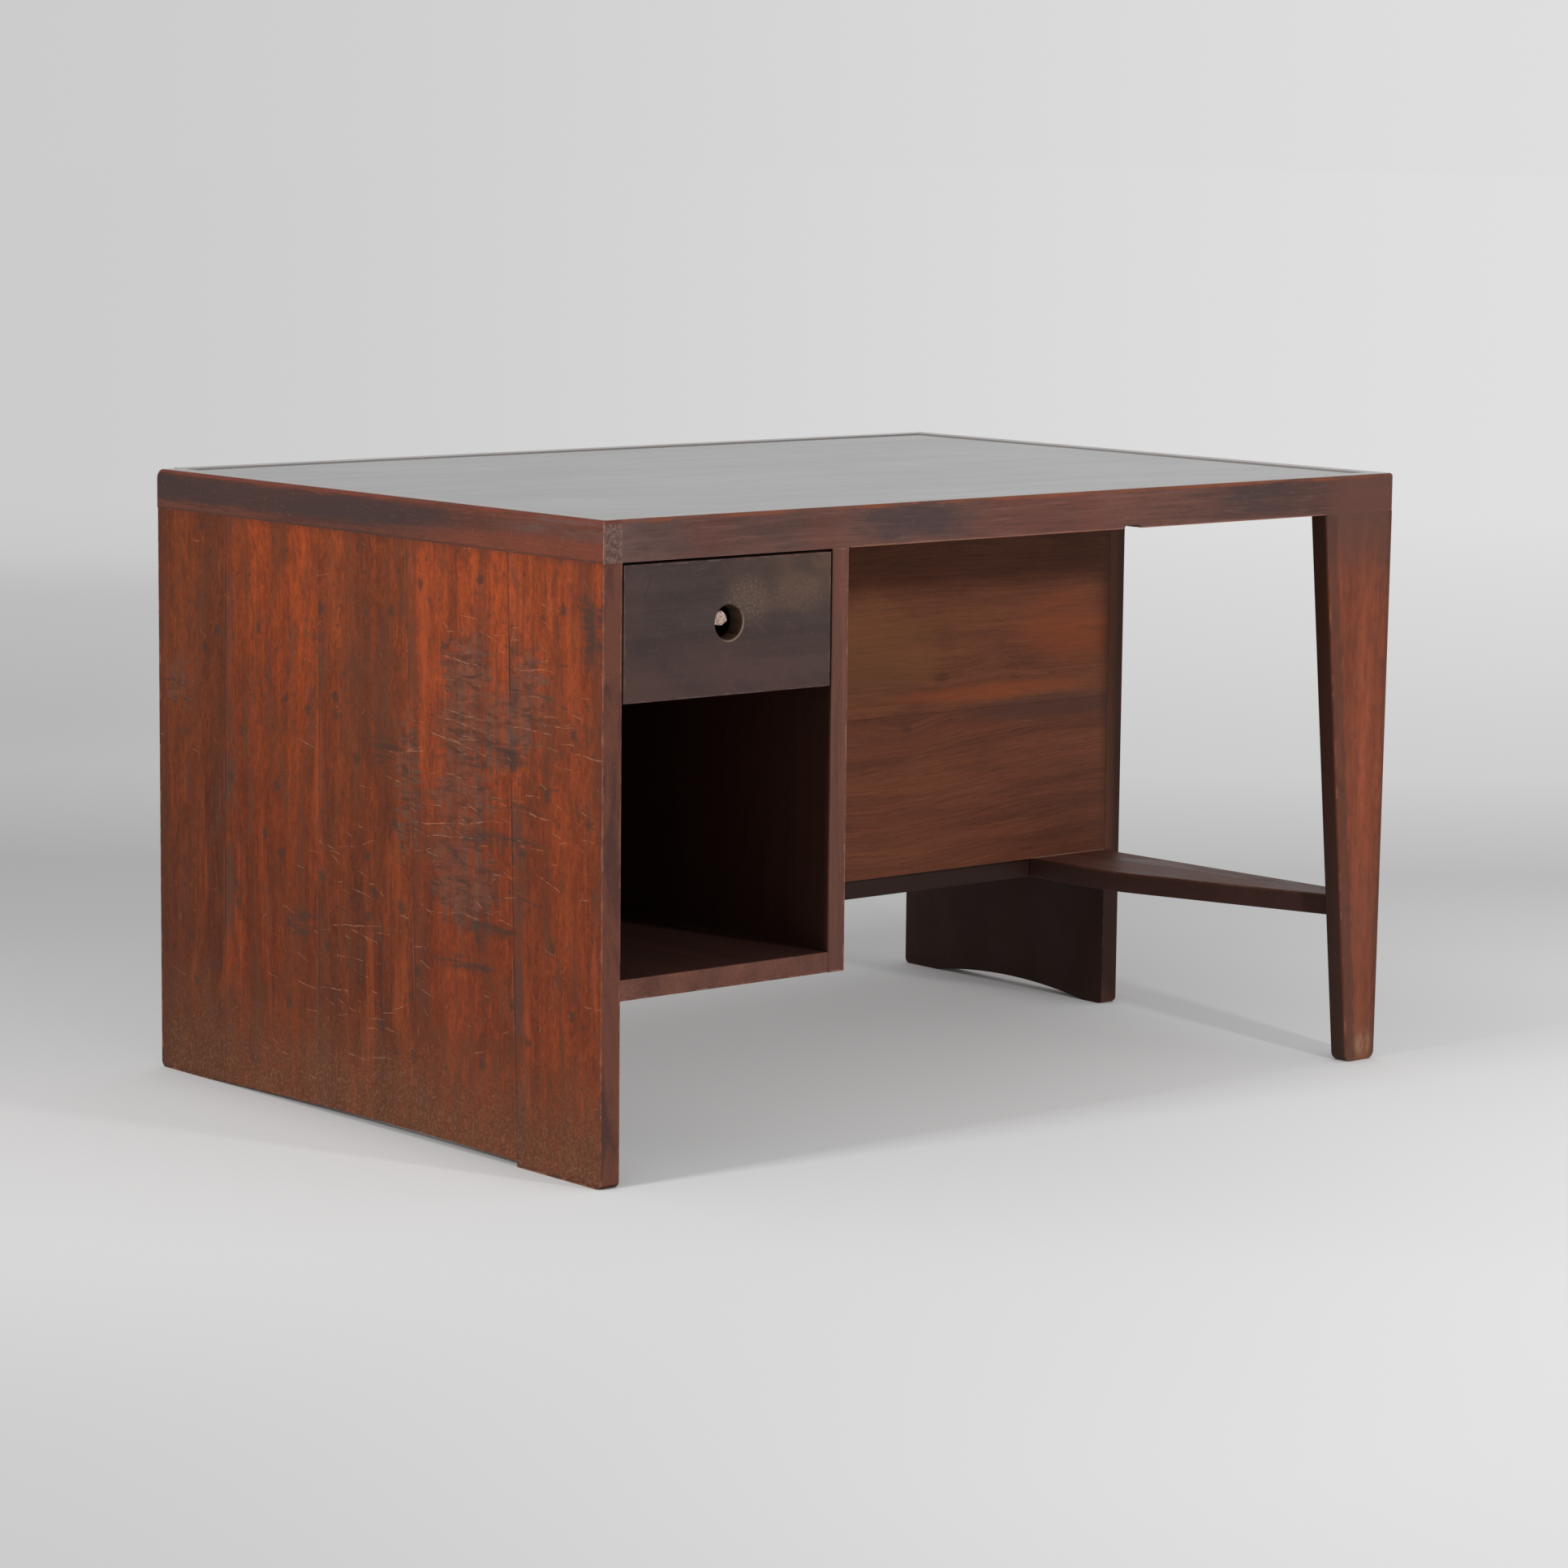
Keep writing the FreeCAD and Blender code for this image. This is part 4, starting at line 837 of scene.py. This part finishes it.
finish_of = {"front_leg": leg_finish(), "drawer_front": drawer_finish(), "runner_screws": screw_finish(),
             "top_rail_left": side_rail, "top_rail_right": side_rail,
             "top_rail_front": long_rail, "top_rail_back": long_rail,
             "pedestal_side_panel": pedestal_finish("teak_pedestal", "z", front_edge),
             "pedestal_floor": pedestal_finish("teak_pedestal_floor", "y", front_edge),
             "stretcher": foot_rail_finish(), "panel_dowels": inner_z,
             "end_board_front": end_panel, "end_board_back": end_panel}
finish_of.update({name: rack_floor for name in rack_floor_names})
finish_of.update({name: gable for name in gable_names})
finish_of.update({name: modesty for name in modesty_names})
finish_of.update({name: inner_z for name in nodes if name.startswith("rack_divider")})
for name in nodes:
    if name not in finish_of:
        low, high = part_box(name)
        finish_of[name] = inner_x if high[0] - low[0] > high[1] - low[1] else inner_y

board_tints = {"gable_board_1": (1.04, 1.0, 1.0), "gable_board_2": (1.08, 1.0, 0.96),
               "gable_board_3": (0.76, 0.8, 0.82), "gable_board_4": (1.02, 0.93, 0.75),
               "gable_board_5": (0.66, 0.73, 0.73), "modesty_board_lower": (0.82, 0.78, 0.82)}
bevel_widths = {"drawer_front": 0.0016, "pedestal_side_panel": 0.0014, "pedestal_floor": 0.0014,
                "stretcher": 0.0014, "front_leg": 0.0004, "leather_top": 0.0}
bevel_widths.update({name: 0.0003 for name in gable_names})
plain_tint = (1.0, 1.0, 1.0)
plain_bevel = 0.0008

for number, (name, node) in enumerate(sorted(nodes.items())):
    node.data.materials.clear()
    node.data.materials.append(finish_of[name])
    node.pass_index = number + 1
    node.color = (*board_tints.get(name, plain_tint), 1.0)
    width = bevel_widths.get(name, plain_bevel)
    if width:
        weld = node.modifiers.new("weld", "WELD")
        weld.merge_threshold = 0.00002
        bevel = node.modifiers.new("eased edges", "BEVEL")
        bevel.width = width
        bevel.segments = 2
        bevel.limit_method = "ANGLE"
        bevel.angle_limit = math.radians(50)
        bevel.use_clamp_overlap = True
        smooth = node.modifiers.new("shading", "WEIGHTED_NORMAL")
        smooth.keep_sharp = True


# Leather sheet: laid on the top boards, a little uneven, its edge turned down

def new_object(name, data):
    """A new object in the scene that holds a mesh, a lamp or a camera."""
    made = bpy.data.objects.new(name, data)
    bpy.context.scene.collection.objects.link(made)
    return made


def new_mesh(name, points, faces):
    mesh = bpy.data.meshes.new(name)
    mesh.from_pydata(points, [], faces)
    return mesh


def leather_sheet():
    low, high = leather_low, leather_high
    columns = 120
    rows = 84
    lip = 0.0012
    points = []
    faces = []
    for row in range(rows + 1):
        for column in range(columns + 1):
            x = low[0] + (high[0] - low[0]) * column / columns
            y = low[1] + (high[1] - low[1]) * row / rows
            border = min(x - low[0], high[0] - x, y - low[1], high[1] - y)
            sag = 0.00016 * (2 + math.sin(7.3 * x + 2.1 * y) + math.sin(11.9 * y - 3.7 * x))
            drop = lip if border < 1e-6 else 0.0
            points.append((x, y, high[2] - sag - drop))
    stride = columns + 1
    for row in range(rows):
        for column in range(columns):
            corner = row * stride + column
            faces.append((corner, corner + 1, corner + 1 + stride, corner + stride))
    mesh = new_mesh("leather_sheet", points, faces)
    mesh.polygons.foreach_set("use_smooth", [True] * len(mesh.polygons))
    mesh.materials.append(leather_finish())
    return new_object("leather_sheet", mesh)


leather = leather_sheet()
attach(leather, "desk")
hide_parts("leather_top")


# Torn pale wood that stands out from the left wall of the finger hole

# Its outline, across and up from the hole's middle
splinter_corners = ((-0.0067, 0.0129), (-0.016, 0.01), (-0.019, -0.002), (-0.007, -0.0034),
                    (-0.0004, 0.0015), (-0.0022, 0.0084))


def hole_splinter():
    front = drawer_low[1] + 0.0022
    depth = 0.006
    slope = 0.18
    points = []
    for back in (0.0, depth):
        for across, up in splinter_corners:
            points.append((hole_middle[0] + across, front + back - slope * across, hole_middle[1] + up))
    count = len(splinter_corners)
    faces = [tuple(range(count)), tuple(range(2 * count - 1, count - 1, -1))]
    for corner in range(count):
        after = (corner + 1) % count
        faces.append((after, corner, corner + count, after + count))
    mesh = new_mesh("hole_splinter", points, faces)
    splinter = new_object("hole_splinter", mesh)
    eased = splinter.modifiers.new("eased edges", "BEVEL")
    eased.width = 0.0012
    eased.segments = 2
    paint = Paint("bare_teak")
    torn = paint.noise(paint.place, 420.0, 4.0, 0.7)
    paint.colour = paint.mix(paint.fade(torn, 0.42, 0.62), (168, 138, 122), (222, 200, 188))
    mesh.materials.append(paint.finish(0.7, torn, depth=0.0008, sheen=0.2))
    return splinter


splinter = hole_splinter()
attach(splinter, "drawer")


# Studio: a pale floor that passes into a pale backdrop, soft lamps, a camera at the photograph's angle

view_yaw = math.radians(40.2791)
view_distance = 5.8


def backdrop_side(paint, x, y):
    """How far a place lies beyond the desk's middle along the line of sight, and to the right of it."""
    away = paint.add(paint.times(x, math.sin(view_yaw)), paint.times(y, math.cos(view_yaw)))
    right = paint.minus(paint.times(x, math.cos(view_yaw)), paint.times(y, math.sin(view_yaw)))
    return away, right


def seen_rays(paint):
    """1 for the rays that show the background itself: to the camera, in gloss or through glass."""
    rays = paint.node("ShaderNodeLightPath").outputs
    return paint.most(rays["Is Camera Ray"], rays["Is Glossy Ray"], rays["Is Transmission Ray"])


def studio_floor():
    span = 60.0
    corners = [(-span, -span, 0), (span, -span, 0), (span, span, 0), (-span, span, 0)]
    mesh = new_mesh("studio_floor", corners, [(0, 1, 2, 3)])
    floor = new_object("studio_floor", mesh)
    paint = Paint("studio_floor")
    away, right = backdrop_side(paint, paint.x, paint.y)

    # Grey of the backdrop by the distance behind the desk: painted shade, dimmest where a backdrop would
    # curve up from the flat floor
    nearest = -2.5
    furthest = 10.0
    ramp = paint.node("ShaderNodeValToRGB", {0: paint.fade_line(away, nearest, furthest)})
    stops = ((-2.5, 214), (-1.0, 225), (-0.3, 219), (0.9, 187), (1.5, 181), (2.6, 200), (4.5, 208),
             (8.0, 217))
    for number, (distance, grey) in enumerate(stops):
        position = (distance - nearest) / (furthest - nearest)
        stop = ramp.color_ramp.elements[number] if number < 2 else ramp.color_ramp.elements.new(position)
        stop.position = position
        stop.color = shade(grey, grey, grey)
    # Painted light and shade: lighter to the right, a painted pool of light beside the desk, painted shade
    # far off to the left
    sideways = paint.math("DIVIDE", right, paint.most(paint.add(away, view_distance), 3.0))
    tone = paint.fade(sideways, -0.2, 0.2, 0.86, 1.08)
    light_beside = paint.times(paint.fade(right, 0.2, 0.8), paint.zone(away, -0.5, 1.0, 0.5))
    light_beside = paint.times(light_beside, paint.fade(right, 1.8, 0.8, 0.12, 0.32))
    left_wall_shade = paint.times(paint.fade(right, -0.6, -1.4), paint.zone(away, 2.6, 6.0, 0.8))
    tone = paint.times(tone, paint.add(paint.minus(light_beside, paint.times(left_wall_shade, 0.1)), 1.0))
    # Painted contact shade: the glow darkens where the floor is closed in
    contact_shade = paint.node("ShaderNodeAmbientOcclusion", {"Distance": 0.15}).outputs["AO"]
    tone = paint.times(tone, paint.fade(contact_shade, 0.0, 0.9, 0.1, 1.0))
    backdrop = paint.scaled(ramp.outputs[0], tone)

    # Near the desk the floor is mostly plain matte, so that it keeps the shadows; the painted glow, seen by
    # the camera, in gloss and through glass only, takes about a third there and all of it further out
    reach = paint.length(paint.x, paint.y)
    far = paint.times(paint.fade(reach, 0.75, 1.9, 0.35, 1.0), seen_rays(paint))
    matte = paint.node("ShaderNodeBsdfDiffuse", {"Color": shade(235, 235, 235)})
    glow = paint.node("ShaderNodeEmission", {"Color": backdrop, "Strength": 1.0})
    both = paint.node("ShaderNodeMixShader", {0: far, 1: matte.outputs[0], 2: glow.outputs[0]})
    paint.output(both)
    mesh.materials.append(paint.owner)


def studio_air(fill):
    paint = Paint("studio_air", "worlds")
    bpy.context.scene.world = paint.owner
    ways = paint.split(paint.spaces["Generated"])
    _, right = backdrop_side(paint, ways[0], ways[1])
    # The background shown to the camera and in gloss is a painted grey, darker to the left
    tone = paint.fade(right, -0.2, 0.2, 0.6, 0.74)
    light = paint.node("ShaderNodeBackground", {"Color": (1.0, 1.0, 1.0, 1.0), "Strength": fill})
    shown = paint.node("ShaderNodeBackground", {"Color": paint.join(tone, tone, tone), "Strength": 1.0})
    both = paint.node("ShaderNodeMixShader", {0: seen_rays(paint), 1: light.outputs[0], 2: shown.outputs[0]})
    paint.output(both, "ShaderNodeOutputWorld")


def lamp(name, place, target, size, power, beam):
    light = bpy.data.lights.new(name, "AREA")
    light.shape = "RECTANGLE"
    light.size = size
    light.size_y = size
    light.energy = power
    light.spread = math.radians(beam)
    holder = new_object(name, light)
    holder.location = place
    holder.rotation_mode = "QUATERNION"
    holder.rotation_quaternion = (Vector(target) - Vector(place)).to_track_quat("-Z", "Y")


def camera():
    down = math.radians(8.0078)
    roll = math.radians(0.5875)
    image_width = 1932
    focal_pixels = 5987.7
    lens = bpy.data.cameras.new("camera")
    lens.sensor_width = 36.0
    lens.lens = focal_pixels * lens.sensor_width / image_width
    lens.clip_end = 200.0
    turn = Matrix.Rotation(-view_yaw, 3, "Z")
    turn = turn @ Matrix.Rotation(math.pi / 2 - down, 3, "X")
    turn = turn @ Matrix.Rotation(roll, 3, "Z")
    holder = new_object("camera", lens)
    holder.rotation_mode = "QUATERNION"
    holder.rotation_quaternion = turn.to_quaternion()
    holder.location = (-3.75515, -4.44141, 1.15922)
    bpy.context.scene.camera = holder


studio_floor()
studio_air(fill=0.4)
lamp("key", place=(0.14, -2.56, 1.2), target=(0.1, 0.0, 0.35), size=0.14, power=8, beam=110)
lamp("left_bank", place=(-3.7, -0.3, 1.75), target=(-0.6, -0.1, 0.4), size=0.5, power=20, beam=90)
camera()
bpy.context.scene.view_settings.view_transform = "Standard"
